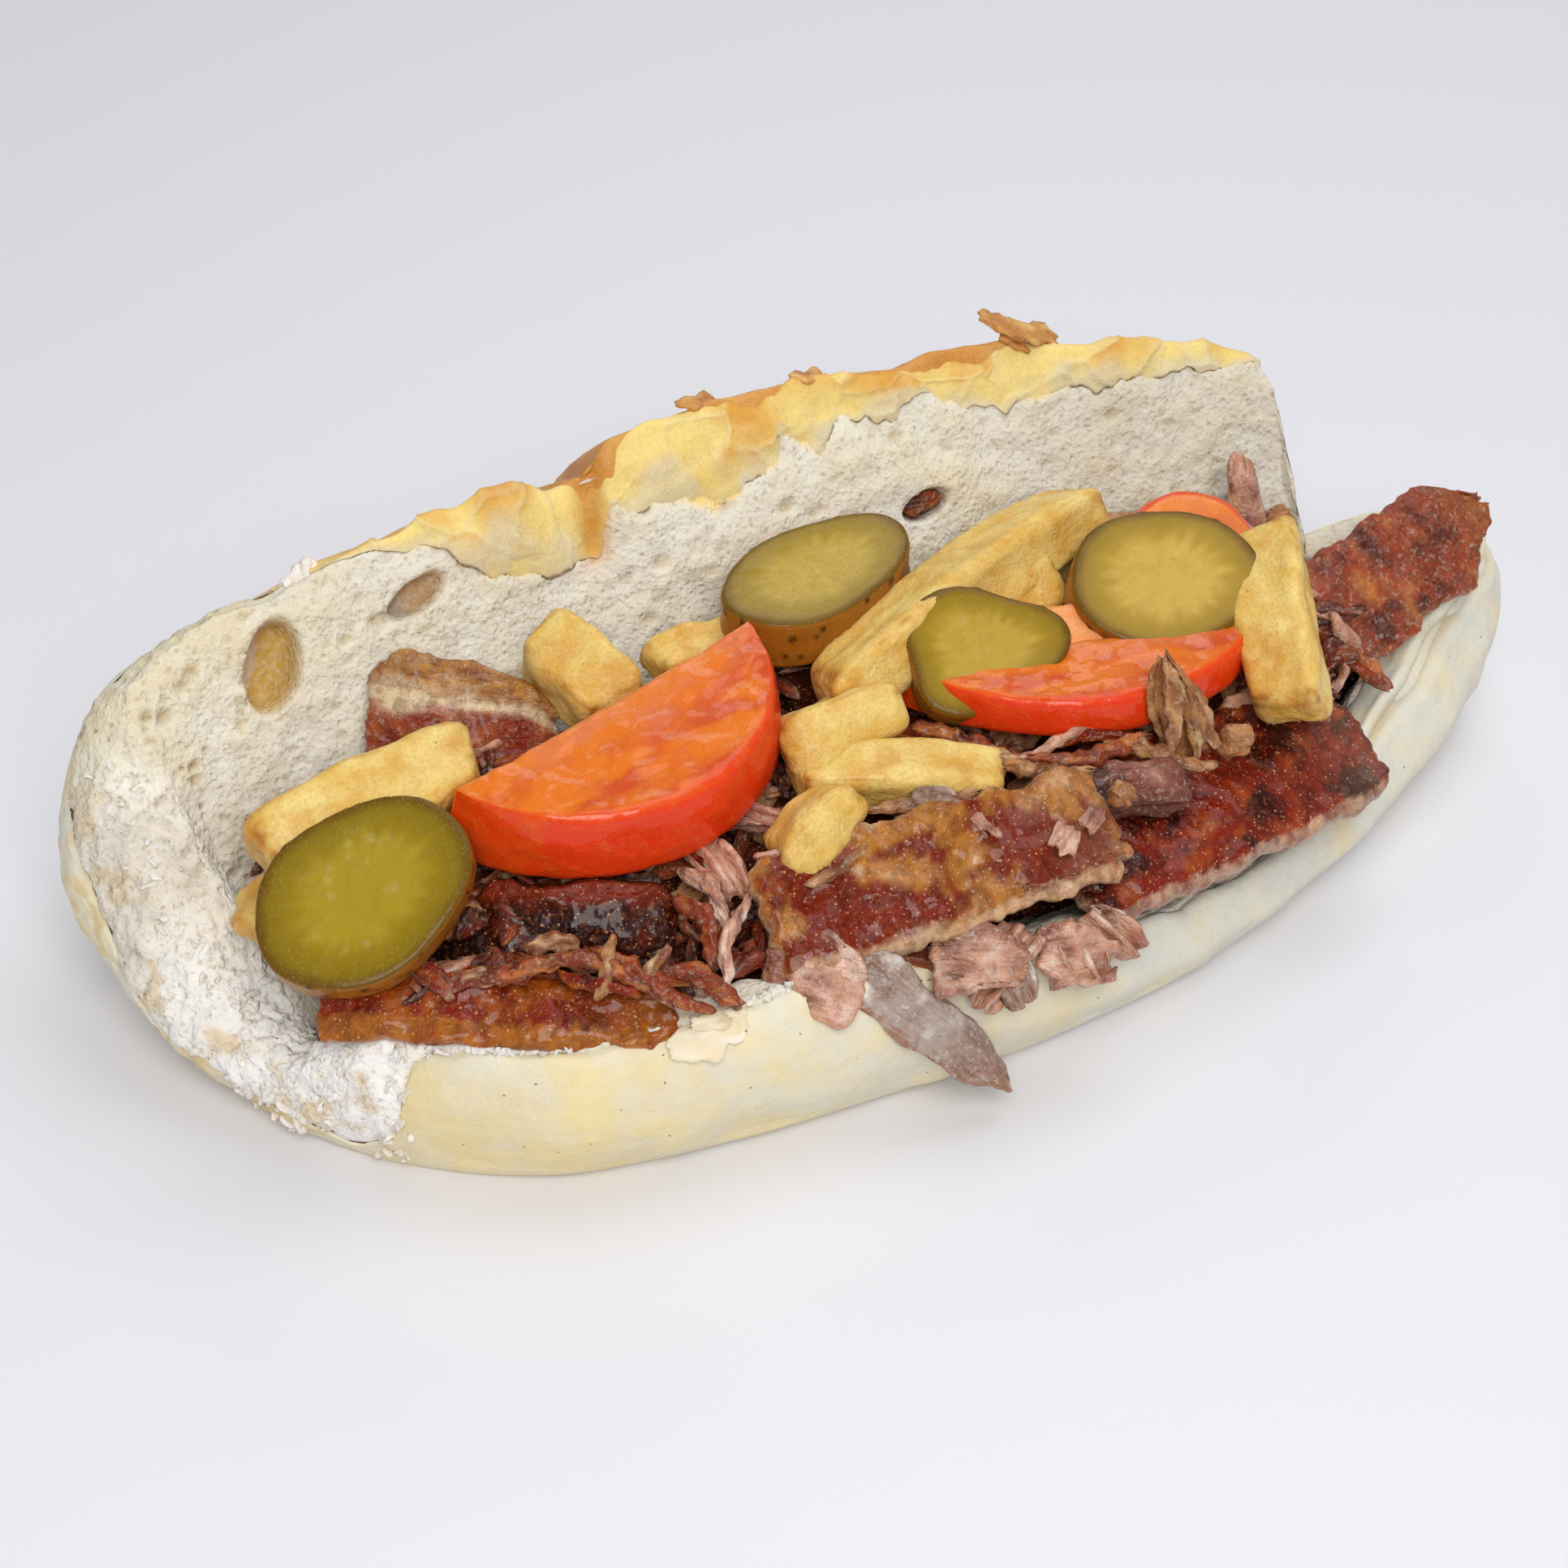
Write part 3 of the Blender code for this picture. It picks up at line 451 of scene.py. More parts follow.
@dataclass
class Draft:
    """A mesh in the making, in mm, with each vertex's colour and its place on the piece."""

    bm: bmesh.types.BMesh
    tones: list[Colour]
    places: list[Vector]

    @classmethod
    def empty(cls) -> "Draft":
        """Starts a draft that others are joined to."""
        return cls(bmesh.new(), [], [])

    @classmethod
    def whole(cls, bm: bmesh.types.BMesh, tones: list[Colour]) -> "Draft":
        """Takes a mesh that lies in place, so that its points are its places."""
        return cls(bm, tones, [vert.co.copy() for vert in bm.verts])

    def join(self, other: "Draft") -> None:
        """Adds another draft's mesh to this one.

        Args:
            other: The draft to add, which is used up.
        """
        scrap = bpy.data.meshes.new("scrap")
        other.bm.to_mesh(scrap)
        other.bm.free()
        self.bm.from_mesh(scrap)
        bpy.data.meshes.remove(scrap)
        self.tones += other.tones
        self.places += other.places

    def finish(self, name: str, finish: Finish, slot: str, nodes: tuple[str, ...] = ()) -> None:
        """Writes the mesh as a finished piece that rides on the sandwich.

        Args:
            name: The piece's name.
            finish: The surface it gets.
            slot: Not used.
            nodes: The solids that it stands for.
        """
        bmesh.ops.scale(self.bm, vec=Vector((MM, MM, MM)), verts=self.bm.verts[:])
        mesh = bpy.data.meshes.new(name)
        self.bm.to_mesh(mesh)
        self.bm.free()
        tone = mesh.color_attributes.new(name="tone", type="FLOAT_COLOR", domain="POINT")
        tone.data.foreach_set("color", [part for colour in self.tones for part in (*colour, 1.0)])
        local = mesh.attributes.new(name="local", type="FLOAT_VECTOR", domain="POINT")
        local.data.foreach_set("vector", [part for place in self.places for part in place])
        mesh.polygons.foreach_set("use_smooth", [True] * len(mesh.polygons))
        mesh.materials.append(finish.material())
        item = added(name, mesh)
        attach(item, BODY)
        if nodes:
            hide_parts(*nodes)
        LOG.info("%s: %d faces", name, len(mesh.polygons))


def mapped_skin(
    turns: list[float], places: list[float], put: Callable[[float, float], Vector]
) -> tuple[bmesh.types.BMesh, Pairs]:
    """Wraps a grid into a closed skin: its columns go round, and its first and last rows are poles.

    Args:
        turns: The turn of each column, in degrees.
        places: The place of each row, with the two poles first and last.
        put: The rule that gives a point for a turn and a place.

    Returns:
        The mesh with its normals, and each vertex's turn and place.
    """
    bm = bmesh.new()
    columns, rows = len(turns), len(places) - 1
    bmesh.ops.create_grid(bm, x_segments=columns, y_segments=rows, size=1.0)
    spots, seam = {}, []
    for vert in bm.verts:
        column = round((vert.co.x + 1.0) / 2.0 * columns)
        row = round((vert.co.y + 1.0) / 2.0 * rows)
        turn = turns[column % columns]
        spots[vert] = turn, places[row]
        if column in (0, columns) or row in (0, rows):
            seam.append(vert)
        vert.co = put(turn, places[row])
    bmesh.ops.remove_doubles(bm, verts=seam, dist=SAME_SPOT)
    bm.normal_update()
    return bm, [spots[vert] for vert in bm.verts]


def divided_block(bm: bmesh.types.BMesh, cuts: tuple[int, int, int]) -> None:
    """Makes a cube of side 2 cut into strips along its three axes.

    Args:
        bm: The mesh to fill.
        cuts: How many cuts each axis gets.
    """
    bmesh.ops.create_cube(bm, size=2.0)
    for axis, count in enumerate(cuts):
        edges = [e for e in bm.edges if abs(e.verts[0].co[axis] - e.verts[1].co[axis]) > 1.9]
        if count:
            bmesh.ops.subdivide_edges(bm, edges=edges, cuts=count, use_grid_fill=True)


def rounded(point: Vector, half: Vector, radius: float) -> Vector:
    """Moves a point of a block's surface onto the same block with rounded edges.

    Args:
        point: The point.
        half: The block's half sizes.
        radius: The radius of its edges.

    Returns:
        Where the point goes.
    """
    core = Vector([max(-(h - radius), min(h - radius, c)) for c, h in zip(point, half)])
    out = point - core
    return core + out.normalized() * radius if out.length > 1e-9 else point


def axes_matrix(centre: Vector, along: Vector, facing: Vector) -> Matrix:
    """Builds a placement with X along the piece and Z as near its facing as that allows.

    Args:
        centre: The piece's middle.
        along: The way of its X axis.
        facing: The way that its Z axis leans.

    Returns:
        The placement.
    """
    x_axis = along.normalized()
    z_axis = (facing - x_axis * facing.dot(x_axis)).normalized()
    y_axis = z_axis.cross(x_axis)
    placement = Matrix((x_axis, y_axis, z_axis)).transposed().to_4x4()
    placement.translation = centre
    return placement


# ------------ loaf


class Section(NamedTuple):
    """The loaf's wall cut across: distances outwards from its foot, and heights."""

    belly: float
    belly_z: float
    crest: float
    crest_z: float
    lip: float
    knee: float
    knee_z: float
    floor: float


FRONT = Section(7.0, 11.5, 3.0, 27.5, 8.0, -7.0, 17.0, -17.0)
PRESSED = Section(5.5, 7.5, 2.0, 15.0, 7.0, -9.0, 11.5, -15.0)
HEEL = Section(13.0, 20.0, 8.0, 32.0, 7.0, -5.0, 20.0, -22.0)
BACK_RIM = Section(8.0, 14.0, 5.0, 29.0, 6.0, -4.0, 18.0, -15.0)
LID = Section(29.0, 30.0, 13.0, 71.0, 7.0, -14.0, 25.0, -28.0)
LEFT = Section(14.0, 20.0, 5.0, 42.0, 9.0, -12.0, 22.0, -27.0)
CLEFT = Section(4.0, 6.0, 1.0, 15.0, 6.0, -8.0, 11.0, -18.0)
TORN = Section(3.5, 11.0, 0.0, 26.0, 10.0, -13.0, 17.0, -20.0)


class Station(NamedTuple):
    """A place round the loaf: its share of the turn, the wall's foot, its facing and its section."""

    turn: float
    x: float
    y: float
    facing: float
    section: Section


STATIONS = (
    Station(0, 107, 10, 5, HEEL),
    Station(20, 101, 20, 48, HEEL._replace(belly=9, crest=7, crest_z=31, floor=-18)),
    Station(30, 89, 23, 84, BACK_RIM),
    Station(34, 90, 34, 97, LID._replace(belly=22, crest=9, crest_z=53, knee=-10)),
    Station(52, 68, 39, 90, LID._replace(belly=27, crest=11, crest_z=61)),
    Station(72, 30, 41, 90, LID._replace(crest_z=66)),
    Station(94, -12, 41, 90, LID._replace(crest_z=68)),
    Station(114, -52, 40, 91, LID._replace(crest=11, crest_z=64)),
    Station(132, -86, 38, 98, LID._replace(belly=27, crest=10, crest_z=60)),
    Station(152, -107, 35, 130, LID._replace(belly=19, belly_z=25, crest=9, crest_z=56, knee=-16)),
    Station(172, -114, 28, 168, LEFT._replace(belly=13)),
    Station(194, -112, 12, 188, LEFT._replace(belly=9, belly_z=11, crest=3, crest_z=27)),
    Station(212, -107, -3, 214, CLEFT),
    Station(224, -96, -18, 232, TORN),
    Station(240, -72, -32, 254, FRONT),
    Station(260, -38, -37, 266, FRONT._replace(crest_z=29)),
    Station(280, -5, -38, 270, FRONT._replace(crest_z=24)),
    Station(298, 25, -35, 277, PRESSED._replace(crest_z=17)),
    Station(314, 54, -26, 293, PRESSED),
    Station(332, 77, -14, 305, PRESSED._replace(belly=8, belly_z=9, crest=-1, crest_z=19)),
    Station(346, 94, -3, 318, HEEL._replace(belly=10, belly_z=12, crest=0, crest_z=27)),
)


def periodic_cubic(turns: list[float], values: list[float], turn: float) -> float:
    """Reads a smooth periodic curve through the values, without overshoot.

    Args:
        turns: Ascending places of the values, in degrees.
        values: One value for each place.
        turn: Where to read, in degrees.

    Returns:
        The curve's value there.
    """
    count = len(turns)
    turn %= 360.0
    low = max(i for i in range(count) if turns[i] <= turn)

    def gap(i: int) -> float:
        """Gives the turn between a value and the next."""
        return (turns[(i + 1) % count] - turns[i % count]) % 360.0

    def slope(i: int) -> float:
        """Gives the slope between a value and the next."""
        return (values[(i + 1) % count] - values[i % count]) / gap(i)

    def tangent(i: int) -> float:
        """Gives the curve's slope at a value."""
        before, after = slope(i - 1), slope(i)
        return 2.0 * before * after / (before + after) if before * after > 0.0 else 0.0

    width = gap(low)
    t = (turn - turns[low]) / width
    h00 = 2 * t**3 - 3 * t**2 + 1
    h10 = t**3 - 2 * t**2 + t
    return (
        h00 * values[low]
        + (1 - h00) * values[(low + 1) % count]
        + width * (h10 * tangent(low) + (t**3 - t**2) * tangent((low + 1) % count))
    )


@dataclass
class LoafForm:
    """The loaf's skin as a surface: a turn round it, and a place from its sole to its floor.

    Places run from -1 at the middle of the sole, over 0 at the foot and 3 at the crest, to 6 at the
    foot of the inner wall and 7 at the middle of the crumb floor.
    """

    crumb_floor: float = 9.0
    pole_y: float = -2.0
    spine: tuple[tuple[float, float], tuple[float, float]] = ((-76.0, 6.0), (86.0, 9.0))
    lump: float = 0.9
    lump_size: float = 13.0
    torn: float = 1.2
    torn_size: float = 6.0
    torn_place: float = 3.4
    torn_spread: float = 0.8
    nick: Triple = (-39.0, 4.5, 5.0)
    lid_y: float = 30.0
    plain_below: float = 4.0
    straight_run: int = 4
    inner_foot: float = 6.0
    place_step: float = 0.04
    turn_step: float = 0.6
    shoulder: tuple[float, float] = (0.14, 0.58)
    lip_drop: float = 0.3
    foot_tuck: float = 8.0
    known: dict[float, tuple[Station, Pairs]] = field(default_factory=dict)

    def column(self, turn: float) -> tuple[Station, Pairs]:
        """Gives the station at a turn and the points of its wall, foot to floor.

        Args:
            turn: The turn round the loaf.

        Returns:
            The station, and pairs of a distance outwards and a height.
        """
        turn = round(turn % 360.0, 3) % 360.0
        if turn not in self.known:
            turns = [s.turn for s in STATIONS]
            rows = [
                (s.x, s.y, math.sin(math.radians(s.facing)), math.cos(math.radians(s.facing)), *s.section)
                for s in STATIONS
            ]
            x, y, up, across, *sizes = (periodic_cubic(turns, list(row), turn) for row in zip(*rows))
            cut = Section(*sizes)
            rise = cut.crest_z - cut.belly_z
            out, up_share = self.shoulder
            walls = [
                (0.0, 0.0),
                (cut.belly, cut.belly_z),
                ((cut.belly + cut.crest) / 2 + out * rise, cut.belly_z + up_share * rise),
                (cut.crest, cut.crest_z),
                (cut.crest - cut.lip, cut.crest_z - self.lip_drop * cut.lip),
                (cut.knee, cut.knee_z),
                (cut.floor, self.crumb_floor),
            ]
            self.known[turn] = (Station(turn, x, y, math.atan2(up, across), cut), walls)
        return self.known[turn]

    def read_wall(self, points: Pairs, place: float) -> tuple[float, float]:
        """Reads a rounded curve through the wall's points; the long inner face stays straight.

        Args:
            points: The wall's points, foot to floor.
            place: Where to read, from 0 to 6.

        Returns:
            The distance outwards and the height there.
        """
        last = len(points) - 1
        i = min(int(place), last - 1)
        t = place - i
        p1, p2 = points[i], points[i + 1]
        p0 = points[i - 1] if i else (p1[0] - self.foot_tuck, 0.0)
        p3 = points[min(i + 2, last)]
        bend = 0.0 if i == self.straight_run else 1.0
        result = []
        for a, b, c, d in zip(p0, p1, p2, p3):
            m1 = 0.5 * (c - a) * bend + (c - b) * (1 - bend)
            m2 = 0.5 * (d - b) * bend + (c - b) * (1 - bend)
            result.append(
                (2 * t**3 - 3 * t**2 + 1) * b + (t**3 - 2 * t**2 + t) * m1
                + (3 * t**2 - 2 * t**3) * c + (t**3 - t**2) * m2
            )
        return result[0], max(result[1], 0.0)

    def beside(self, station: Station, out: float, height: float) -> Vector:
        """Places a point beside a station's foot: outwards along its facing, inwards to the spine.

        Args:
            station: The station.
            out: How far outwards, or inwards below 0.
            height: The point's height.

        Returns:
            The point.
        """
        foot = Vector((station.x, station.y, height))
        if out >= 0.0:
            return foot + Vector((math.cos(station.facing), math.sin(station.facing), 0.0)) * out
        (left_x, left_y), (right_x, right_y) = self.spine
        share = max(0.0, min(1.0, (station.x - left_x) / (right_x - left_x)))
        spine = Vector((left_x + share * (right_x - left_x), left_y + share * (right_y - left_y), height))
        return foot - (spine - foot).normalized() * out

    def relief(self, point: Vector, place: float) -> Vector:
        """Gives how far the skin is pushed by its lumps and by its torn edge.

        Args:
            point: A point of the plain skin.
            place: Its place on the wall.

        Returns:
            The push.
        """
        if point.z < self.plain_below:
            return Vector()
        lump = noise.noise(point / self.lump_size) * self.lump
        edge = hump(self.torn_place, self.torn_spread, place)
        torn = noise.noise(point / self.torn_size + Vector((7, 3, 1))) * self.torn * edge
        nick = 0.0
        if point.y > self.lid_y and place > 2.0:
            nick_x, nick_width, nick_deep = self.nick
            nick = nick_deep * hump(nick_x, nick_width, point.x) * edge
        return Vector((0.3 * lump, lump, torn + lump - nick))

    def point(self, turn: float, place: float) -> Vector:
        """Places a point of the skin.

        Args:
            turn: The turn round the loaf.
            place: The place on its wall.

        Returns:
            The point.
        """
        station, walls = self.column(turn)
        if place < 0.0:
            return Vector((0.0, self.pole_y, 0.0)).lerp(self.beside(station, 0.0, 0.0), 1.0 + place)
        if place > self.inner_foot:
            edge = self.beside(station, station.section.floor, self.crumb_floor)
            return edge.lerp(Vector((0.0, self.pole_y, self.crumb_floor)), place - self.inner_foot)
        point = self.beside(station, *self.read_wall(walls, place))
        return point + self.relief(point, place) if 0.0 < place < self.inner_foot else point

    def surface(self, turn: float, place: float) -> tuple[Vector, Vector]:
        """Places a point of the skin and gives the way that the skin faces there.

        Args:
            turn: The turn round the loaf.
            place: The place on its wall.

        Returns:
            The point and the facing.
        """
        here = self.point(turn, place)
        if place < 0.0 or place > self.inner_foot:
            return here, Vector((0.0, 0.0, -1.0 if place < 0.0 else 1.0))
        above, below = min(place + self.place_step, self.inner_foot), max(place - self.place_step, 0.0)
        up = self.point(turn, above) - self.point(turn, below)
        side = self.point(turn + self.turn_step, place) - self.point(turn - self.turn_step, place)
        return here, side.cross(up).normalized()


class Hollow(NamedTuple):
    """A large bubble in the crumb: its middle, half sizes, lean, and the painted light and shade of its
    inside and of its left wall.
    """

    centre: Triple
    radii: Triple
    lean: float
    colour: Colour
    wall: Colour


class Stop(NamedTuple):
    """How far up the wall something reaches at a turn."""

    turn: float
    place: float


# Where the baked crust ends, from the right tip round the lid, the torn left end and the front.
CRUST_STOPS = (
    Stop(0, 3.9), Stop(14, 3.5), Stop(30, 3.0), Stop(36, 3.2), Stop(43, 3.15), Stop(53, 3.35),
    Stop(62, 3.2), Stop(65.6, 3.76), Stop(69.6, 3.96), Stop(74.4, 3.84), Stop(77.6, 3.68),
    Stop(82.4, 3.5), Stop(84.8, 3.15), Stop(87.2, 3.76), Stop(90.4, 3.85), Stop(94.0, 3.75),
    Stop(95.6, 3.2), Stop(98.4, 3.32), Stop(101.6, 3.76), Stop(103.2, 4.0), Stop(105.6, 4.16),
    Stop(106.8, 3.7), Stop(108, 3.1), Stop(112, 3.3), Stop(119, 3.2), Stop(128, 2.85), Stop(150, 2.65),
    Stop(166, 2.1), Stop(177, 1.9), Stop(184, 1.5), Stop(193, 1.1), Stop(200, 1.4), Stop(208, 0.9),
    Stop(215, 0.8), Stop(220, 0.4), Stop(224, 0.8), Stop(226.5, 2.5), Stop(232, 2.95), Stop(260, 3.1),
    Stop(300, 3.2), Stop(326, 3.5), Stop(346, 4.0),
)

# Where the smooth yellow layer under the lid's crust ends and the open crumb begins.
SHEET_STOPS = (
    Stop(33, 3.4), Stop(35, 3.5), Stop(42, 3.85), Stop(47, 4.0), Stop(58, 4.05), Stop(64, 4.06),
    Stop(67.2, 4.09), Stop(71.2, 4.09), Stop(74.4, 4.0), Stop(78.4, 4.04), Stop(83.2, 4.08),
    Stop(84.8, 4.16), Stop(88, 4.08), Stop(88.8, 4.16), Stop(92.8, 4.2), Stop(94.4, 4.24),
    Stop(99.2, 4.17), Stop(102.4, 4.12), Stop(103.4, 4.08), Stop(105.6, 4.24), Stop(107.2, 4.2),
    Stop(112, 4.22), Stop(116, 4.1), Stop(120, 3.9), Stop(126, 3.5), Stop(131, 2.9), Stop(150, 2.7),
)


@dataclass(eq=False)
class Loaf:
    """The bread: torn crumb inside, and a thin baked crust outside that ends in a ragged edge."""

    form: LoafForm = field(default_factory=LoafForm)
    open_turns: tuple[float, float] = (30.0, 235.0)
    open_columns: int = 470
    other_columns: int = 220
    crust_columns: int = 560
    crust_thick: float = 0.6
    crumb_below: float = 1.2
    floor_from: float = 5.8
    sheet_turns: tuple[float, float] = (33.0, 131.0)
    sheet_rows: int = 420
    sheet_thick: float = 0.5
    patch_size: float = 10.0
    # Each hollow's two colours are painted light and shade on its walls.
    hollows: tuple[Hollow, ...] = (
        Hollow((-90.5, 40.5, 53.0), (4.3, 6.5, 6.6), 28.0, tint("C6A04A"), tint("D2B698")),
        Hollow((-65.8, 41.0, 56.5), (5.4, 3.6, 2.2), -18.0, tint("B89468"), tint("A8947C")),
        Hollow((22.3, 38.5, 48.5), (4.0, 4.5, 2.0), -10.0, tint("6E2A18"), tint("6E2A18")),
    )
    fold_x: float = -35.0
    fold_z: float = 58.0
    fold_lean: float = 0.12
    fold_width: float = 2.2
    fold_deep: float = 2.4
    fold_up: tuple[float, float] = (50.0, 57.0)
    fold_back: tuple[float, float] = (30.0, 36.0)

    # Stretches of turn: the ragged lid edge, the lid, the crumb's rim, the torn left end, the swell of
    # crumb over the yellow layer, the buttery front, the beige and coarse left crust, and the heel.
    RAGGED = Span(31.0, 36.0, 110.0, 150.0)
    LID = Span(26.0, 40.0, 118.0, 150.0)
    RIM = Span(118.0, 140.0, 180.0, 196.0)
    TORN_END = Span(158.0, 172.0, 225.0, 230.0)
    SWELL = Span(60.0, 84.0, 101.0, 106.0)
    BUTTERY = Span(190.0, 215.0, 240.0, 262.0)
    PATCHED = Span(150.0, 175.0, 216.0, 232.0)
    COARSE = Span(150.0, 175.0, 210.0, 222.0)
    CREASED = Span(322.0, 336.0, 12.0, 26.0)
    WRINKLED = Span(325.0, 350.0, 10.0, 24.0)

    WHITE = tint("ECE7D9")
    CREAM = tint("E4D7B4")
    # SHADED is painted shade, used for the crumb floor, the low fluff, the lid's right end and the left
    # pocket.
    SHADED = tint("C2B39C")
    # PORE is painted shade for the crumb's pits.
    PORE = tint("C2A878")
    # STAIN is a real stain on the crumb and painted shade in the heel's crease grooves.
    STAIN = tint("A88440")
    SHEET = tint("FFDC86")
    SHEET_DEEP = tint("E2A03C")
    FOLD = tint("D08A28")
    BEIGE = tint("DEC08C")
    PALE = tint("E4E0D0")
    WARM = tint("F0DCA4")
    GREENISH = tint("DAD9CE")
    GOLD = tint("DC9A46")
    BROWN = tint("C27830")
    LIGHT_GOLD = tint("E6B464")
    TORN = tint("FFFBF4")
    # GLOW is a painted highlight on the heel's crease ridges.
    GLOW = tint("F0EEDC")

    @staticmethod
    def reach(stops: tuple[Stop, ...], turn: float) -> float:
        """Reads how far up the wall something reaches at a turn."""
        return periodic_cubic([s.turn for s in stops], [s.place for s in stops], turn)

    @cache
    def edge(self, turn: float) -> float:
        """Gives the place where the crust ends, ragged along its length.

        Args:
            turn: The turn round the loaf.

        Returns:
            The place on the wall.
        """
        rag = 0.10 * noise.noise(Vector((turn / 3.0, 0.3, 0.0)))
        rag += 0.07 * noise.noise(Vector((turn / 1.1, 5.0, 0.0)))
        return self.reach(CRUST_STOPS, turn) + rag * (0.7 + 0.9 * self.RAGGED.at(turn))

    @cache
    def skin(self, turn: float) -> float:
        """Gives the place where the yellow layer ends, ragged along its length.

        Args:
            turn: The turn round the loaf.

        Returns:
            The place on the wall.
        """
        rag = 0.05 * noise.noise(Vector((turn / 4.0, 8.3, 0.0)))
        rag += 0.035 * noise.noise(Vector((turn / 1.2, 11.0, 0.0)))
        return self.reach(SHEET_STOPS, turn) + rag

    def fold(self, point: Vector) -> float:
        """Reads how near a point is to the lid's deep fold, from 0 to 1."""
        near = hump(self.fold_x + self.fold_lean * (point.z - self.fold_z), self.fold_width, point.x)
        return near * ease(*self.fold_up, point.z) * ease(*self.fold_back, point.y)

    def crumb_spot(self, turn: float, place: float, point: Vector) -> tuple[float, Colour]:
        """Gives the crumb's height over the plain form, and its colour with painted shade in its pits,
        hollows, low fluff and shaded corners.

        Args:
            turn: The turn round the loaf.
            place: The place on its wall.
            point: Where that is.

        Returns:
            The height along the surface's facing, and the colour.
        """
        past = place - self.edge(turn)
        bare = ease(-0.12, 0.02, past)
        fold = self.fold(point)
        if bare <= 0.0:
            return -self.crumb_below - self.fold_deep * fold, self.WHITE
        # The crumb floor under the heap is painted in the shade colour, as painted shade.
        if place > self.floor_from:
            return 0.0, self.SHADED
        rim = self.RIM.at(turn) * ease(4.6, 3.6, place)
        low = grain(point, 9.0, 2)
        fluff = grain(point, 3.0, 3, 4.0)
        wide = pits(Vector((point.x, point.y, 1.5 * point.z)), 5.2, 0.26 + 0.4 * rim)
        small = pits(Vector((point.x, point.y, 1.3 * point.z)) + Vector((9, 2, 5)), 2.5, 0.4 + 0.3 * rim)
        height = 0.8 * low + 0.4 * fluff - 1.1 * wide - 0.65 * small
        tone = blend(self.WHITE, self.CREAM, 0.3 + 0.6 * low + 0.7 * rim)
        # Painted shade: the lid's inner face darker towards its right end, and the low spots of the fluff
        # darker.
        dim = ease(20.0, 60.0, point.x) * ease(66.0, 54.0, point.z)
        tone = blend(tone, self.SHADED, 0.35 * ease(-0.1, -0.9, fluff) + 0.3 * dim)
        # Painted shade: the pits are darkened, the wide ones most.
        tone = blend(tone, self.PORE, (0.55 + 0.35 * rim) * wide + 0.5 * small)
        torn = self.TORN_END.at(turn)
        if torn > 0.0:
            shaggy = abs(grain(point, 6.0, 3, 15.0)) + 0.5 * abs(grain(point, 2.2, 3, 31.0))
            height += torn * ease(0.0, 0.3, past) * ease(4.8, 3.6, place) * (2.0 * shaggy - 0.2)
            spot = ease(0.05, 0.4, grain(point, 6.0, 2, 21.0)) * ease(3.0, 2.5, place)
            white = torn * (0.7 + 0.3 * ease(196.0, 208.0, turn))
            tone = blend(blend(tone, self.TORN, white), self.BEIGE, 0.7 * torn * spot)
        low_turn, high_turn = self.sheet_turns
        if low_turn < turn < high_turn:
            under = ease(0.0, 0.03, self.skin(turn) - place)
            height = height * (1.0 - under) - 1.1 * under
            tone = blend(tone, self.SHEET, under)
            height += 1.6 * self.SWELL.at(turn) * hump(4.35, 0.25, place)
        tone = blend(tone, self.FOLD, 0.8 * fold)
        for hollow in self.hollows:
            x, _, z = (a - b for a, b in zip(point, hollow.centre))
            lean = math.radians(hollow.lean)
            cos, sin = math.cos(lean), math.sin(lean)
            across, up = x * cos - z * sin, x * sin + z * cos
            span = math.hypot(across / hollow.radii[0], up / hollow.radii[2]) + 0.06 * fluff
            if span < 1.3 and point.y > hollow.centre[1] - 12.0:
                inside = ease(1.08, 0.75, span)
                height = height * (1.0 - 0.8 * inside) - inside * hollow.radii[1]
                # Painted light and shade in the hollow: its left side takes the wall colour and the rest the
                # inside colour.
                lit = blend(hollow.wall, hollow.colour, ease(-0.45, -0.2, across / hollow.radii[0]))
                tone = blend(tone, lit, ease(1.12, 0.85, span))
        # Painted shade in the pocket under the lid's left overhang.
        shade = ease(-72.0, -92.0, point.x) * ease(46.0, 36.0, point.z) * ease(10.0, 22.0, point.y)
        tone = blend(tone, self.SHADED, shade * (0.45 + 0.4 * low))
        stain = ease(-88.0, -100.0, point.x) * ease(14.0, 6.0, point.y) * ease(4.2, 4.6, place)
        tone = blend(tone, self.STAIN, stain * (0.45 + 0.5 * fluff))
        return bare * height - self.crumb_below * (1.0 - bare) - self.fold_deep * fold, tone

    def sheet_spot(self, share: float, point: Vector) -> tuple[float, Colour]:
        """Gives the yellow layer's height and colour: torn patches with creases between them.

        Args:
            share: How far down the layer the point is, from 0 under the crust to 1 at its torn edge.
            point: Where that is.

        Returns:
            The height along the surface's facing, and the colour.
        """
        flow = Vector((point.x, 0.5 * point.y, 1.6 * point.z))
        flow += Vector((grain(point, 6.0, 2), 0.0, 0.0)) * 2.0
        spans, centres = noise.voronoi(flow / self.patch_size)
        patch = noise.cell(centres[0] * 7.3)
        crease = ease(0.1, 0.0, spans[1] - spans[0])
        soft = grain(point, 9.0, 2, 7.0)
        height = 0.3 * patch + 0.7 * soft + 0.3 * crease + 0.3
        height += 0.35 * ease(0.8, 1.0, share) * (grain(point, 4.0, 2, 3.0) - 0.4)
        height = height * ease(0.0, 0.4, share) - 0.5 * ease(0.12, 0.0, share)
        tone = blend(self.SHEET, self.SHEET_DEEP, 0.7 - 0.65 * share + 0.5 * patch + 0.8 * soft)
        tone = blend(tone, self.CREAM, 0.7 * ease(0.75, 1.0, share + 0.3 * soft) + 0.25 * crease)
        fold = self.fold(point)
        return height - self.fold_deep * fold, blend(tone, self.FOLD, 0.9 * fold)

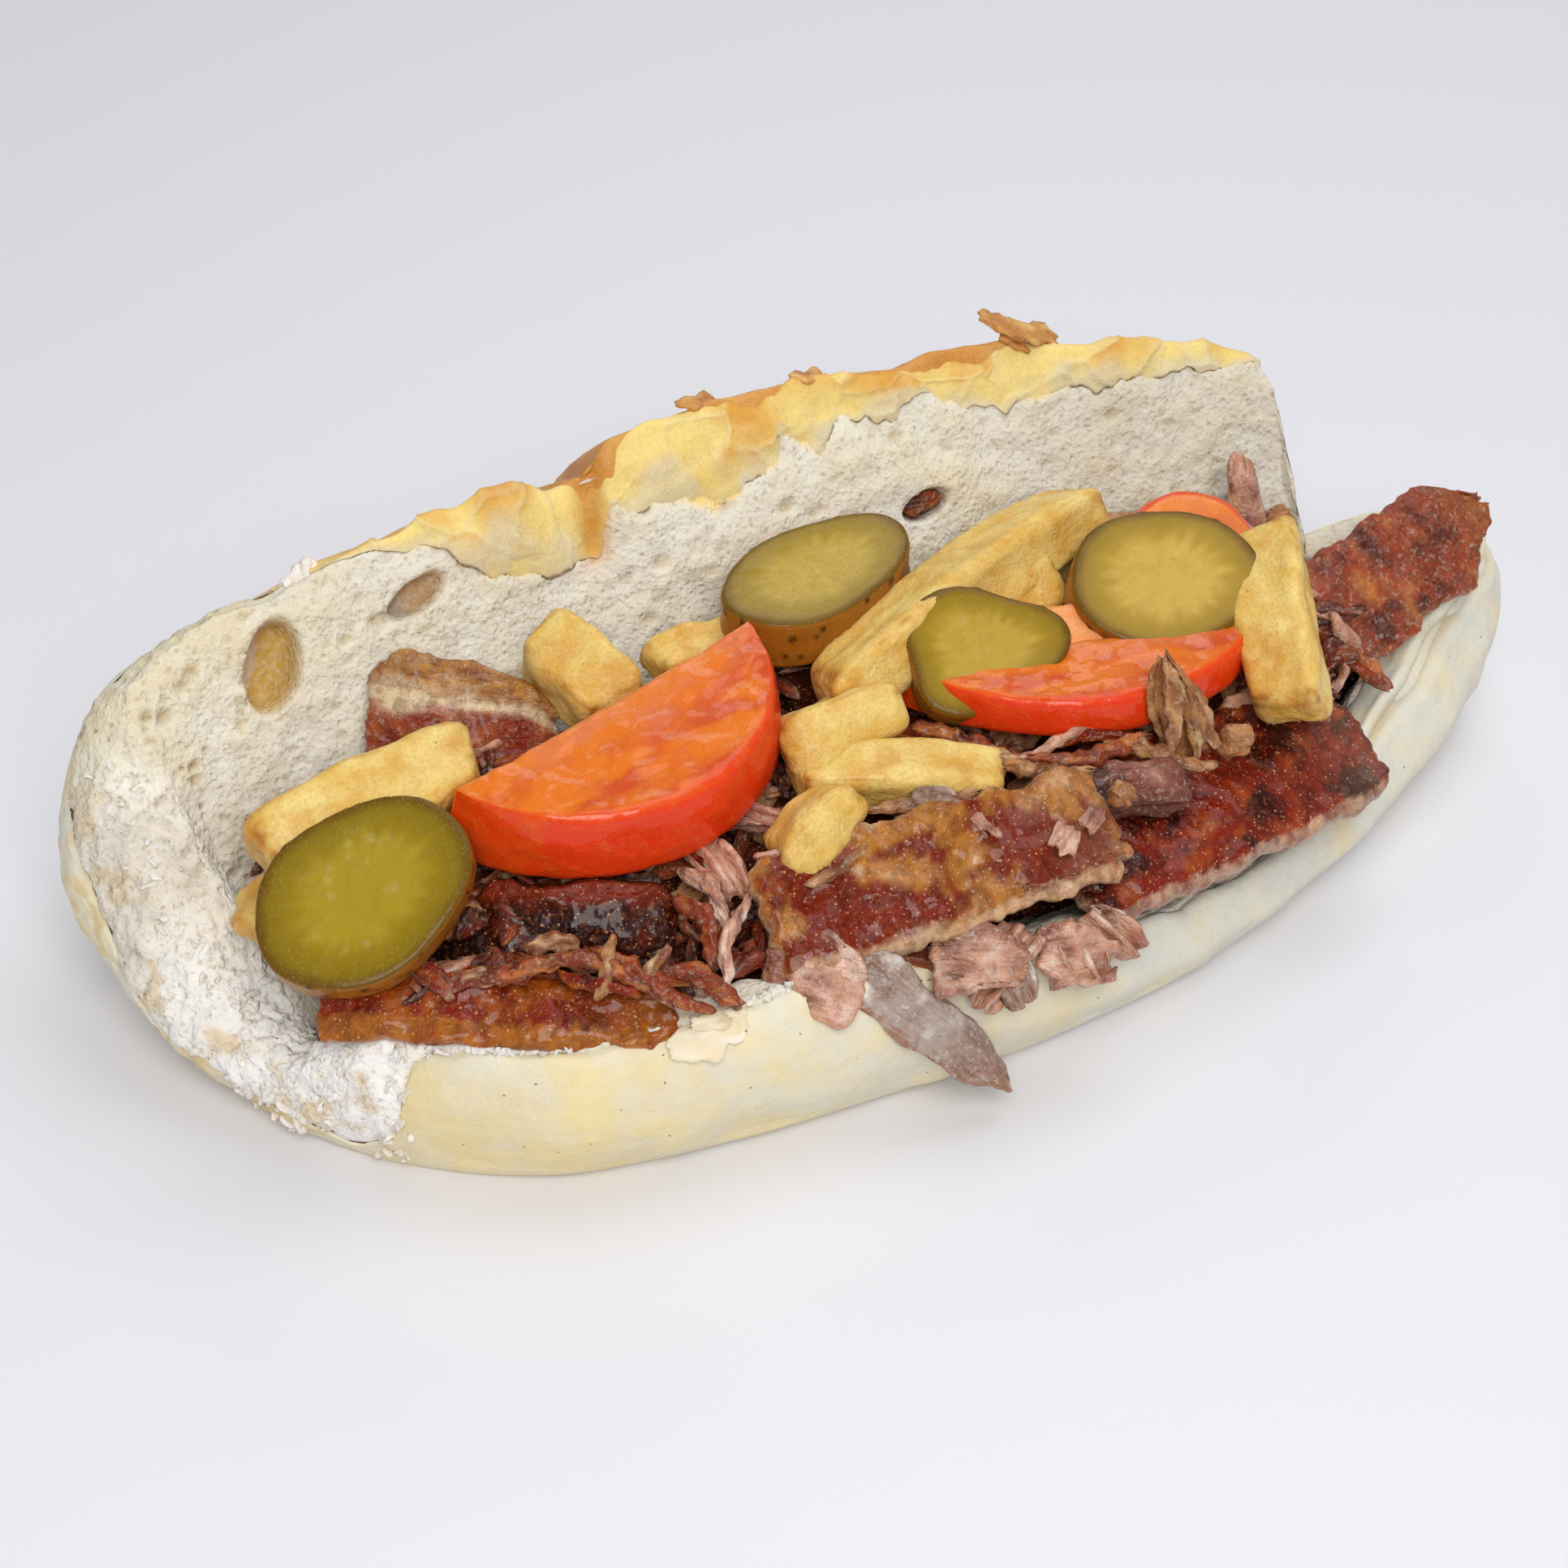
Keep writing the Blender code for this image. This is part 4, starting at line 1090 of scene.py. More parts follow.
    def build_sheet(self) -> None:
        """Models the smooth yellow layer that hangs torn from the lid's crust."""
        low, high = self.sheet_turns
        rows = spaced(high, low, self.sheet_rows) + [low]
        loop = spaced(0.0, 0.9, 40) + spaced(0.9, 1.0, 6) + spaced(1.0, 1.1, 6) + spaced(1.1, 2.0, 8)

        def share_of(run: float, turn: float) -> float:
            """Turns the way round the layer, down its face and up its back, into a share."""
            return 0.5 if turn in self.sheet_turns else min(run, 2.0 - run)

        def place_of(run: float, turn: float) -> float:
            """Gives the place on the wall for a way round the layer."""
            top = self.edge(turn) - 0.1
            return top + max(0.02, self.skin(turn) - top) * share_of(run, turn)

        bm, spots = mapped_skin(loop, rows, lambda run, turn: self.form.point(turn, place_of(run, turn)))
        tones = []
        for vert, (run, turn) in zip(bm.verts, spots):
            facing = self.form.surface(turn, place_of(run, turn))[1]
            height, tone = self.sheet_spot(share_of(run, turn), vert.co)
            back = self.sheet_thick * ease(1.0, 1.06, run) * ease(2.0, 1.9, run)
            vert.co += facing * (height - back)
            tones.append(tone)
        Draft.whole(bm, tones).finish("bread_sheet", SHEET, "bread")

    def build_crumb(self) -> None:
        """Models the crumb as one closed body, from under the crust to the hollow's floor."""
        low, high = self.open_turns
        turns = spaced(low, high, self.open_columns) + spaced(high, low + 360.0, self.other_columns)
        turns = [round(turn % 360.0, 4) for turn in turns]
        places = (
            spaced(-1.0, 0.0, 3) + spaced(0.0, 2.0, 12) + spaced(2.0, 3.0, 16) + spaced(3.0, 4.0, 26)
            + spaced(4.0, 5.0, 68) + spaced(5.0, 6.0, 12) + spaced(6.0, 7.0, 4) + [7.0]
        )
        bm, spots = mapped_skin(turns, places, self.form.point)
        tones = []
        for vert, (turn, place) in zip(bm.verts, spots):
            height, tone = self.crumb_spot(turn, place, vert.co)
            if place <= 0.0:
                height = -self.crumb_below
            vert.co += vert.normal * height
            tones.append(tone)
        Draft.whole(bm, tones).finish("bread_crumb", CRUMB, "bread", ("bread",))

    def crease(self, turn: float, place: float) -> tuple[float, float]:
        """Reads the long folds round the right end.

        Args:
            turn: The turn round the loaf.
            place: The place on its wall.

        Returns:
            How near the folds' groove and their ridge are, from 0 to 1.
        """
        heel = self.CREASED.past_zero(turn)
        line = 2.55 + 0.25 * noise.noise(Vector((turn / 11.0, 2.0, 0.0)))
        groove = hump(line, 0.1, place) + 0.6 * hump(line + 0.75, 0.1, place) * ease(336.0, 344.0, turn)
        ridge = hump(line + 0.3, 0.13, place) + 0.4 * hump(line - 0.3, 0.13, place)
        return heel * groove, heel * ridge

    def crust_tone(self, turn: float, place: float, point: Vector) -> Colour:
        """Gives the crust's colour: golden over the lid, pale under the filling, with painted shade in the
        heel's crease grooves and a painted highlight on their ridges.

        Args:
            turn: The turn round the loaf.
            place: The place on its wall.
            point: Where that is.

        Returns:
            The colour there.
        """
        mottle = grain(point, 10.0, 3)
        fine = grain(point, 2.6, 2, 5.0)
        lid = self.LID.at(turn)
        baked = lid * ease(0.4, 1.5, place + 0.35 * mottle)
        butter = 0.45 + 0.25 * self.BUTTERY.at(turn)
        pale = blend(self.PALE, self.WARM, butter + 0.65 * mottle + 0.2 * fine)
        pale = blend(pale, self.GREENISH, ease(262.0, 300.0, turn) * (0.65 - 0.6 * mottle))
        gold = blend(self.GOLD, self.BROWN, 0.4 + 0.9 * mottle)
        gold = blend(gold, self.LIGHT_GOLD, 0.3 - 0.9 * mottle + 0.5 * fine)
        tone = blend(pale, gold, baked)
        groove, ridge = self.crease(turn, place)
        # Painted shade darkens the crease grooves and a painted highlight lightens their ridges.
        tone = blend(blend(tone, self.STAIN, 0.5 * groove), self.GLOW, 0.5 * ridge)
        tone = blend(tone, self.FOLD, 0.85 * lid * ease(2.8, 3.4, place) * (0.7 + 0.5 * mottle))
        patch = self.PATCHED.at(turn) * ease(0.0, 0.4, fine + 0.5 * mottle)
        return blend(tone, self.BEIGE, 0.7 * patch)

    def crust_rise(self, turn: float, place: float, point: Vector) -> float:
        """Gives how far the crust's outside stands out from the plain form.

        Args:
            turn: The turn round the loaf.
            place: The place on its wall.
            point: Where that is.

        Returns:
            The height along the surface's facing.
        """
        wrinkle = grain(Vector((point.x * 0.6, point.y, point.z * 1.6)), 5.0, 3, 9.0)
        height = 0.12 * wrinkle + 0.05 * grain(point, 1.4, 2)
        long_grain = grain(Vector((point.x, point.y * 0.4, point.z * 1.6)), 7.0, 2, 3.0)
        height += 0.6 * self.WRINKLED.past_zero(turn) * long_grain
        groove, ridge = self.crease(turn, place)
        height += 0.7 * ridge - 1.1 * groove
        height += 0.5 * self.COARSE.at(turn) * grain(point, 3.0, 3)
        return height * ease(-0.2, 0.3, place) - self.fold_deep * self.fold(point)

    def build_crust(self) -> None:
        """Models the crust as a thin bowl: its outside up to the torn edge, and back down inside."""
        turns = [round((turn + 0.1) % 360.0, 4) for turn in spaced(0.0, 360.0, self.crust_columns)]
        runs = (
            spaced(-1.0, 0.0, 4) + spaced(0.0, 0.96, 76) + spaced(0.96, 1.0, 4)
            + [1.0, 1.02, 1.06, 1.12, 1.3, 1.5, 1.7, 1.85, 2.0, 3.0]
        )

        def place_of(turn: float, run: float) -> float:
            """Turns the way along the bowl, out and back, into a place on the wall."""
            up = self.edge(turn) * (run if run <= 1.0 else 2.0 - run)
            return up if 0.0 <= run <= 2.0 else min(run, 2.0 - run)

        bm, spots = mapped_skin(turns, runs, lambda turn, run: self.form.point(turn, place_of(turn, run)))
        tones = []
        for vert, (turn, run) in zip(bm.verts, spots):
            place = place_of(turn, run)
            facing = vert.normal.copy()
            if run > 0.9:
                facing = self.form.surface(turn, place)[1]
            point = vert.co.copy()
            if run > 1.0:
                height = self.crust_rise(turn, place, point) - self.crust_thick * ease(1.0, 1.03, run)
            else:
                height = self.crust_rise(turn, place, point) - 0.45 * ease(0.93, 1.0, run)
            vert.co = point + facing * height
            tones.append(self.crust_tone(turn, place, point))
        Draft.whole(bm, tones).finish("bread_crust", CRUST, "bread")

    def build(self) -> None:
        """Builds and dresses the bread."""
        self.build_crumb()
        self.build_sheet()
        self.build_crust()


# ------------ filling


class Spot(NamedTuple):
    """A point of a bit's surface: where it is, the way it faces, and where it lay on the block."""

    point: Vector
    normal: Vector
    cube: Vector


@dataclass
class Morsel:
    """A bit of the filling: a divided block that each kind shapes, roughens and colours."""

    name: str

    def block(self) -> tuple[Vector, float, Matrix]:
        """Gives the block's half sizes, its edge radius and its placement."""
        raise NotImplementedError

    def form(self, point: Vector, half: Vector) -> Vector:
        """Bends the rounded block into the piece's form."""
        return point

    def relief(self, spot: Spot) -> float:
        """Gives how far the surface stands out at a spot."""
        return 0.0

    def tone(self, spot: Spot) -> Colour:
        """Gives the surface's colour at a spot."""
        raise NotImplementedError

    def draft(self, step: float) -> Draft:
        """Builds the piece in place.

        Args:
            step: The length of its faces in mm.

        Returns:
            The piece, ready to be finished.
        """
        half, radius, placement = self.block()
        bm = bmesh.new()
        divided_block(bm, tuple(max(1, round(2.0 * h / step)) for h in half))
        cubes = [vert.co.copy() for vert in bm.verts]
        for vert in bm.verts:
            point = Vector([c * h for c, h in zip(vert.co, half)])
            vert.co = self.form(rounded(point, half, radius), half)
        bm.normal_update()
        moves = [v.normal * self.relief(Spot(v.co, v.normal, cube)) for v, cube in zip(bm.verts, cubes)]
        for vert, move in zip(bm.verts, moves):
            vert.co += move
        bm.normal_update()
        places = [vert.co.copy() for vert in bm.verts]
        tones = [self.tone(Spot(v.co, v.normal, cube)) for v, cube in zip(bm.verts, cubes)]
        bmesh.ops.transform(bm, matrix=placement, verts=bm.verts[:])
        return Draft(bm, tones, places)


class Shades(NamedTuple):
    """The colours of a torn or roasted piece: its outside, the dark and the light in it, and its cut side."""

    crust: Colour
    dark: Colour
    light: Colour
    cut: Colour

    @classmethod
    def of(cls, *codes: str) -> "Shades":
        """Reads the four colours from their codes."""
        return cls(*(tint(code) for code in codes))


class Roast(Enum):
    """How a piece of meat was roasted."""

    RED_BROWN = Shades.of("801D08", "340603", "A64A1A", "C4A084")
    MOTTLED = Shades.of("B2722C", "7A2108", "E0BC90", "D2AC88")
    GLAZED = Shades.of("86220A", "500E04", "A4520E", "B46C22")
    CHARRED = Shades.of("320C05", "120302", "802810", "42150C")
    MAUVE = Shades.of("864838", "2C0E0A", "B88470", "5C342C")
    FATTY = Shades.of("A87838", "7A2A18", "D8BC8C", "B0844C")
    GREY = Shades.of("AC988C", "8A6852", "D8D0CA", "8E500E")
    PINK = Shades.of("D29A7A", "84422A", "F2D2BE", "B06C48")
    TAN = Shades.of("B8804C", "6A341C", "DCB080", "B87840")
    RUST = Shades.of("983A12", "460F05", "C47432", "A45822")

    @property
    def finish(self) -> Finish:
        """Gives the surface finish that goes with the roast."""
        browned = self in (Roast.RED_BROWN, Roast.MOTTLED, Roast.GLAZED, Roast.CHARRED)
        return MOIST if self in (Roast.GREY, Roast.PINK) else MEAT if browned else FIBROUS


@dataclass
class Strip(Morsel):
    """A flat bit: the two ends of its middle line, the way it faces, its width and its thickness."""

    start: Triple
    end: Triple
    facing: Triple
    width: float
    thick: float

    EDGE_SHARE = 0.45

    def block(self) -> tuple[Vector, float, Matrix]:
        """Gives the strip's half sizes, edge radius and placement.

        Returns:
            The half sizes, the radius and the placement.
        """
        start, end = Vector(self.start), Vector(self.end)
        half = Vector(((end - start).length / 2, self.width / 2, self.thick / 2))
        placement = axes_matrix((start + end) / 2, end - start, Vector(self.facing))
        return half, self.EDGE_SHARE * self.thick, placement


@dataclass
class Strand(Strip):
    """A torn strand or flake: it narrows to frayed ends, and it bends and twists."""

    bend: float
    twist: float
    shades: Shades
    fray: float = 0.7

    def form(self, point: Vector, half: Vector) -> Vector:
        """Tapers, frays, twists and bends the strand.

        Args:
            point: A point of the rounded block.
            half: The block's half sizes.

        Returns:
            Where the point goes.
        """
        phase = 9.0 * noise.noise(Vector(self.start) * 0.37)
        u, v = point.x / half.x, point.y / half.y
        narrow = 1.0 - 0.6 * abs(u) ** 3
        ragged = 1.0 + self.fray * noise.noise(Vector((point.x / 1.7, 1.5 * v, phase)))
        x = point.x * (1.0 + 0.25 * self.fray * noise.noise(Vector((phase, 2.5 * v, 1.0))) * abs(u))
        y, z = point.y * narrow * ragged, point.z * (1.0 - 0.5 * u * u) * ragged
        angle = self.twist * math.sin(2.0 * u + phase)
        y, z = y * math.cos(angle) - z * math.sin(angle), y * math.sin(angle) + z * math.cos(angle)
        return Vector((x, y + self.bend * math.sin(2.4 * u + phase), z + self.bend * (0.6 - u * u)))

    def relief(self, spot: Spot) -> float:
        """Gives the strand's fibres."""
        place = spot.point + Vector(self.start)
        return 0.25 * min(1.0, self.thick) * grain(Vector((place.x * 0.35, place.y, place.z)), 1.1, 2, 3.0)

    def tone(self, spot: Spot) -> Colour:
        """Gives the strand's colour, streaked along its length.

        Args:
            spot: The spot to read.

        Returns:
            The colour there.
        """
        place = spot.point + Vector(self.start)
        tone = blend(self.shades.crust, self.shades.dark, 0.35 + 1.1 * grain(place, 4.0, 2, 1.0))
        streak = grain(Vector((place.x * 0.3, place.y * 1.3, place.z * 1.3)), 1.8, 2, 5.0)
        tone = blend(tone, self.shades.light, ease(0.0, 0.7, streak))
        return blend(tone, self.shades.cut, 0.4 * ease(0.7, 1.0, abs(spot.cube.x)))


@dataclass
class MeatSlice(Strip):
    """A slice of meat: how it arches, how ragged it is, how it tapers and how it was roasted."""

    arch: float
    ragged: float
    taper: float
    roast: Roast
    rough: float = 0.5
    curl: float = 0.0
    front: float = 0.0
    back: float = 0.0
    corner: float = 1.5
    pleat: float = 3.4
    burns: tuple[Triple, ...] = ()

    EDGE_SHARE = 0.42

    def form(self, point: Vector, half: Vector) -> Vector:
        """Gives the slice its taper, its ragged outline, its arch and its curl.

        Args:
            point: A point of the rounded block.
            half: The block's half sizes.

        Returns:
            Where the point goes.
        """
        phase = Vector(self.start) * 0.37
        u, v = point.x / half.x, point.y / half.y
        narrow = 1.0 - self.taper * max(0.0, u) ** 2
        edge_u = noise.noise(Vector((3.0, v * 1.6, 0.3)) + phase)
        edge_u += 0.6 * noise.noise(Vector((3.0, point.y / 1.5, 8.3)) + phase)
        edge_v = 1.3 * noise.noise(Vector((point.x / 7.0, 5.0 * v, 1.1)) + phase)
        edge_v += 0.3 * noise.noise(Vector((point.x / 1.9, 5.0 * v, 4.1)) + phase)
        x = point.x + (self.ragged * edge_u - self.corner * u * v**4) * abs(u) ** 4
        y = v * (half.y * narrow + self.ragged * edge_v)
        wave = 0.35 * self.thick * noise.noise(Vector((x / 8.0, y / 8.0, 2.0)) + phase)
        thin = 1.0 - 0.25 * max(abs(u), abs(v)) ** 4
        roll = self.curl * math.sin(self.pleat * v + 1.9 * u + phase.x)
        return Vector((x, y, point.z * thin + self.arch * (1 - u * u) + wave + roll))

    def relief(self, spot: Spot) -> float:
        """Gives the crust's grains and folds, and the fibres of the cut sides.

        Args:
            spot: The spot to read.

        Returns:
            How far the surface stands out there.
        """
        side = ease(0.75, 0.35, abs(spot.normal.z))
        place = spot.point + Vector(self.start)
        lumps = grain(place, 4.5, 2, 4.0)
        grains = 0.6 - 2.0 * abs(noise.noise(place / 1.7))
        groove = 1.0 - abs(grain(Vector((place.x + 0.5 * place.y, place.y * 0.25, 0.0)), 4.0, 2, 2.0))
        fibres = grain(Vector((spot.point.x, spot.point.y * 0.3, spot.point.z * 0.3)), 1.7, 3, 6.0)
        top = 1.1 * lumps + 0.4 * grains - 0.9 * max(0.0, groove) ** 8
        return self.rough * (top * (1.0 - 0.7 * side) + 0.7 * fibres * side)

    def tone(self, spot: Spot) -> Colour:
        """Gives the roasted colour, blotched, with a paler cut side.

        Args:
            spot: The spot to read.

        Returns:
            The colour there.
        """
        shades = self.roast.value
        place = spot.point + Vector(self.start)
        patch = grain(place, 9.0, 2, 1.0) + 0.45 * grain(place, 2.6, 2, 9.0)
        for burn_x, burn_y, size in self.burns:
            span = math.hypot(spot.cube.x - burn_x, (spot.cube.y - burn_y) * 0.4)
            patch += 0.9 * hump(0.0, size, span + 0.25 * size * grain(place, 3.0, 2, 13.0))
        light = grain(place, 5.0, 3, 5.0) - 0.3 * patch
        tone = blend(shades.crust, shades.light, 0.9 * ease(0.1, 0.75, light))
        tone = blend(tone, shades.dark, ease(-0.1, 0.5, patch))
        tone = blend(tone, shades.cut, min(1.0, 1.3 * self.taper) * ease(0.35, 0.9, spot.cube.x))
        across = spot.cube.y + 0.2 * noise.noise(place / 3.0)
        tone = blend(tone, shades.light, self.back * ease(0.3, 0.75, across))
        side = 0.85 * ease(0.8, 0.3, abs(spot.normal.z))
        if self.front:
            teeth = self.front * (1.0 + 0.8 * noise.noise(Vector((place.x / 1.4, 3.0, 0.0))))
            side = max(side, 0.85 * ease(teeth + 0.5, teeth - 0.1, (spot.cube.y + 1.0) * self.width / 2))
        streak = grain(Vector((spot.point.x * 1.2, spot.point.y * 0.3, spot.point.z * 0.6)), 1.8, 2, 2.0)
        return blend(tone, blend(shades.cut, shades.crust, 0.15 + 0.8 * streak), side)


@dataclass
class FattySlice(MeatSlice):
    """A slice with its fat on: a tan fibrous top, a pale band of fat and dark lean below."""

    band: float = 0.28

    LEAN = tint("8A2208")
    LEAN_PALE = tint("B0561C")
    FAT = tint("EAD4AC")
    TOP = tint("BC8438")
    TOP_DARK = tint("8A4C18")

    def tone(self, spot: Spot) -> Colour:
        """Gives the three bands across the slice.

        Args:
            spot: The spot to read.

        Returns:
            The colour there.
        """
        fibre = grain(Vector((spot.point.x * 0.3, spot.point.y * 1.4, spot.point.z)), 2.0, 2, 3.0)
        across = spot.cube.y + 0.25 * grain(spot.point, 7.0, 2) + 0.1 * fibre
        top = blend(self.TOP, self.TOP_DARK, 0.35 + 1.2 * fibre)
        top = blend(top, self.FAT, 0.5 * ease(0.15, 0.6, grain(spot.point, 5.0, 2, 17.0)))
        lean = blend(self.LEAN, self.LEAN_PALE, 0.2 + 1.1 * grain(spot.point, 3.0, 2, 7.0))
        tone = blend(lean, top, ease(self.band - 0.05, self.band + 0.1, across))
        return blend(tone, self.FAT, 0.95 * hump(self.band + 0.1, 0.16, across))


SLICES = (
    MeatSlice("meat_strip_hanging", (-33, -38.5, 31), (-11, -50, 6), (-0.1, -0.85, 0.5),
              9.5, 1.6, 3.0, 0.8, 0.75, Roast.GREY, rough=0.2, curl=0.6, front=0.8),
    MeatSlice("meat_scrap_pink", (-43, -33, 31), (-32, -43, 28.5), (-0.4, -0.5, 0.75),
              12, 1.6, 0.8, 1.6, 0.2, Roast.PINK, rough=0.3, curl=0.5),
    MeatSlice("meat_fold_left", (-21, -42, 29), (-6, -46, 25), (0.1, -0.7, 0.7),
              9, 2.2, 1.5, 1.5, 0.3, Roast.PINK, rough=0.4, curl=0.9),
    MeatSlice("meat_fold_right", (-4, -45, 24.5), (8.5, -46.5, 21.5), (0.2, -0.8, 0.6),
              9, 2.4, 1.8, 1.5, 0.3, Roast.PINK, rough=0.4, curl=0.9),
    MeatSlice("meat_slice_front_left", (-104, -10, 29.5), (-60, -37, 28.5), (-0.25, -0.45, 0.86),
              11, 3.0, 1.5, 1.0, 0.35, Roast.GLAZED, rough=0.4, front=3.0),
    MeatSlice("meat_slice_dark", (-79, -10, 33.5), (-52, -22, 33.5), (-0.3, -0.75, 0.55),
              13, 8.0, 0.5, 0.8, 0.1, Roast.CHARRED, rough=0.4, back=0.9),
    MeatSlice("meat_slice_right", (6, -32, 29), (70, -20.5, 25.5), (-0.12, -0.42, 0.9),
              26, 6.0, 1.2, 1.0, 0.1, Roast.RED_BROWN, rough=0.45, front=1.0),
    MeatSlice("meat_slice_centre", (-42, -29, 34), (15, -34, 36.5), (-0.1, -0.5, 0.86),
              20, 5.0, 1.5, 1.6, 0.1, Roast.MOTTLED, rough=0.6, front=1.0,
              burns=((-0.62, -0.5, 0.34), (-0.3, -0.7, 0.2), (0.5, -0.45, 0.26), (0.8, -0.6, 0.2),
                     (-0.1, 0.35, 0.14), (-0.75, 0.6, 0.16), (0.35, 0.3, 0.16))),
    FattySlice("meat_slice_back_left", (-79, 31, 45), (-53, 18, 40.5), (-0.35, -0.75, 0.55),
               20, 4.5, 1.5, 1.4, 0.6, Roast.FATTY, rough=0.45),
    MeatSlice("meat_slice_far_right", (74, -3, 33), (116, 10, 38.5), (-0.3, -0.62, 0.72),
              20, 4.0, 1.5, 1.8, 0.8, Roast.RUST),
    MeatSlice("meat_chunk_dark", (15, -24, 35), (31, -31, 35.5), (-0.2, -0.75, 0.6),
              9, 6.0, 0.8, 1.0, 0.2, Roast.MAUVE, rough=0.4, front=3.5),
    MeatSlice("meat_strip_upright", (33, -26.5, 37), (31, -20.5, 53), (-0.5, -0.8, 0.1),
              8, 2.0, 0.6, 1.0, 0.7, Roast.TAN, rough=0.3, curl=0.9, corner=0.2, pleat=7.0),
    MeatSlice("meat_strip_lid", (75, 19, 35), (75, 26, 51), (-0.4, -0.8, 0.4),
              5.5, 2.6, 0.8, 0.8, 0.4, Roast.PINK, rough=0.3, curl=0.3),
)

LYING: Triple = (-0.1, -0.65, 0.75)


class Fold(NamedTuple):
    """A thin folded scrap of meat: its middle line's ends, width, thickness, curl and roast."""

    name: str
    start: Triple
    end: Triple
    width: float
    thick: float
    curl: float
    roast: Roast

    def morsel(self) -> MeatSlice:
        """Gives the scrap as a thin slice with tight pleats."""
        return MeatSlice(
            self.name, self.start, self.end, LYING, self.width, self.thick, arch=0.6, ragged=0.8, taper=0.3,
            roast=self.roast, rough=0.25, curl=self.curl, front=0.5, corner=0.6, pleat=6.0,
        )


class Wisp(NamedTuple):
    """A torn strand of meat: its middle line's ends, width, thickness, bend, twist and roast."""

    name: str
    start: Triple
    end: Triple
    width: float
    thick: float
    bend: float
    twist: float
    roast: Roast

    def morsel(self) -> Strand:
        """Gives the wisp as a strand."""
        return Strand(
            self.name, self.start, self.end, LYING, self.width, self.thick, self.bend, self.twist,
            self.roast.value,
        )


# Thin folded scraps that show between and under the slices.
FOLDS = (
    Fold("fold_under_left", (-4, -41, 28), (-15, -47, 21), 7.0, 1.0, 1.3, Roast.PINK),
    Fold("fold_under_mid", (-10, -42, 28), (-8, -49, 21), 6.5, 1.0, 1.2, Roast.GREY),
    Fold("fold_under_right", (1, -42, 27), (4, -49, 21), 7.0, 1.0, 1.3, Roast.PINK),
    Fold("fold_tip", (6, -42, 27.5), (13, -46.5, 20.5), 6.0, 1.0, 1.2, Roast.PINK),
    Fold("fold_dark", (-27, -36, 28), (-14, -43, 26), 6.0, 1.4, 0.8, Roast.RUST),
    Fold("flake_pale", (2, -40, 39.2), (6, -36, 40.2), 4.0, 0.8, 0.5, Roast.PINK),
    Fold("flake_pale_small", (8, -37.5, 39.6), (12, -34.5, 40.4), 3.4, 0.8, 0.4, Roast.PINK),
    Fold("scrap_mauve", (-14, -22.5, 41), (-8, -27.5, 42), 6.0, 1.2, 0.6, Roast.GREY),
    Fold("scrap_behind_pickle", (44, 26, 41), (60, 24, 41), 9.0, 3.0, 0.8, Roast.TAN),
    Fold("scrap_in_hole", (19, 40, 47.8), (26, 40, 48.6), 3.0, 2.0, 0.3, Roast.RUST),
    Fold("scrap_lid_end", (81, 24, 34), (84.5, 22, 38), 5.0, 2.4, 0.6, Roast.TAN),
    Fold("cut_left", (-45, -13, 38.5), (-43, -25, 37), 6.0, 2.2, 1.0, Roast.PINK),
    Fold("cut_back", (-39, -7, 38.5), (-31, -15, 39.5), 5.0, 2.2, 0.9, Roast.PINK),
    Fold("knob", (16, -31, 40), (17.5, -35, 40), 4.0, 3.0, 0.3, Roast.TAN),
    Fold("nugget", (39.5, -25, 36.5), (45, -27, 36.5), 5.0, 4.5, 0.3, Roast.TAN),
)

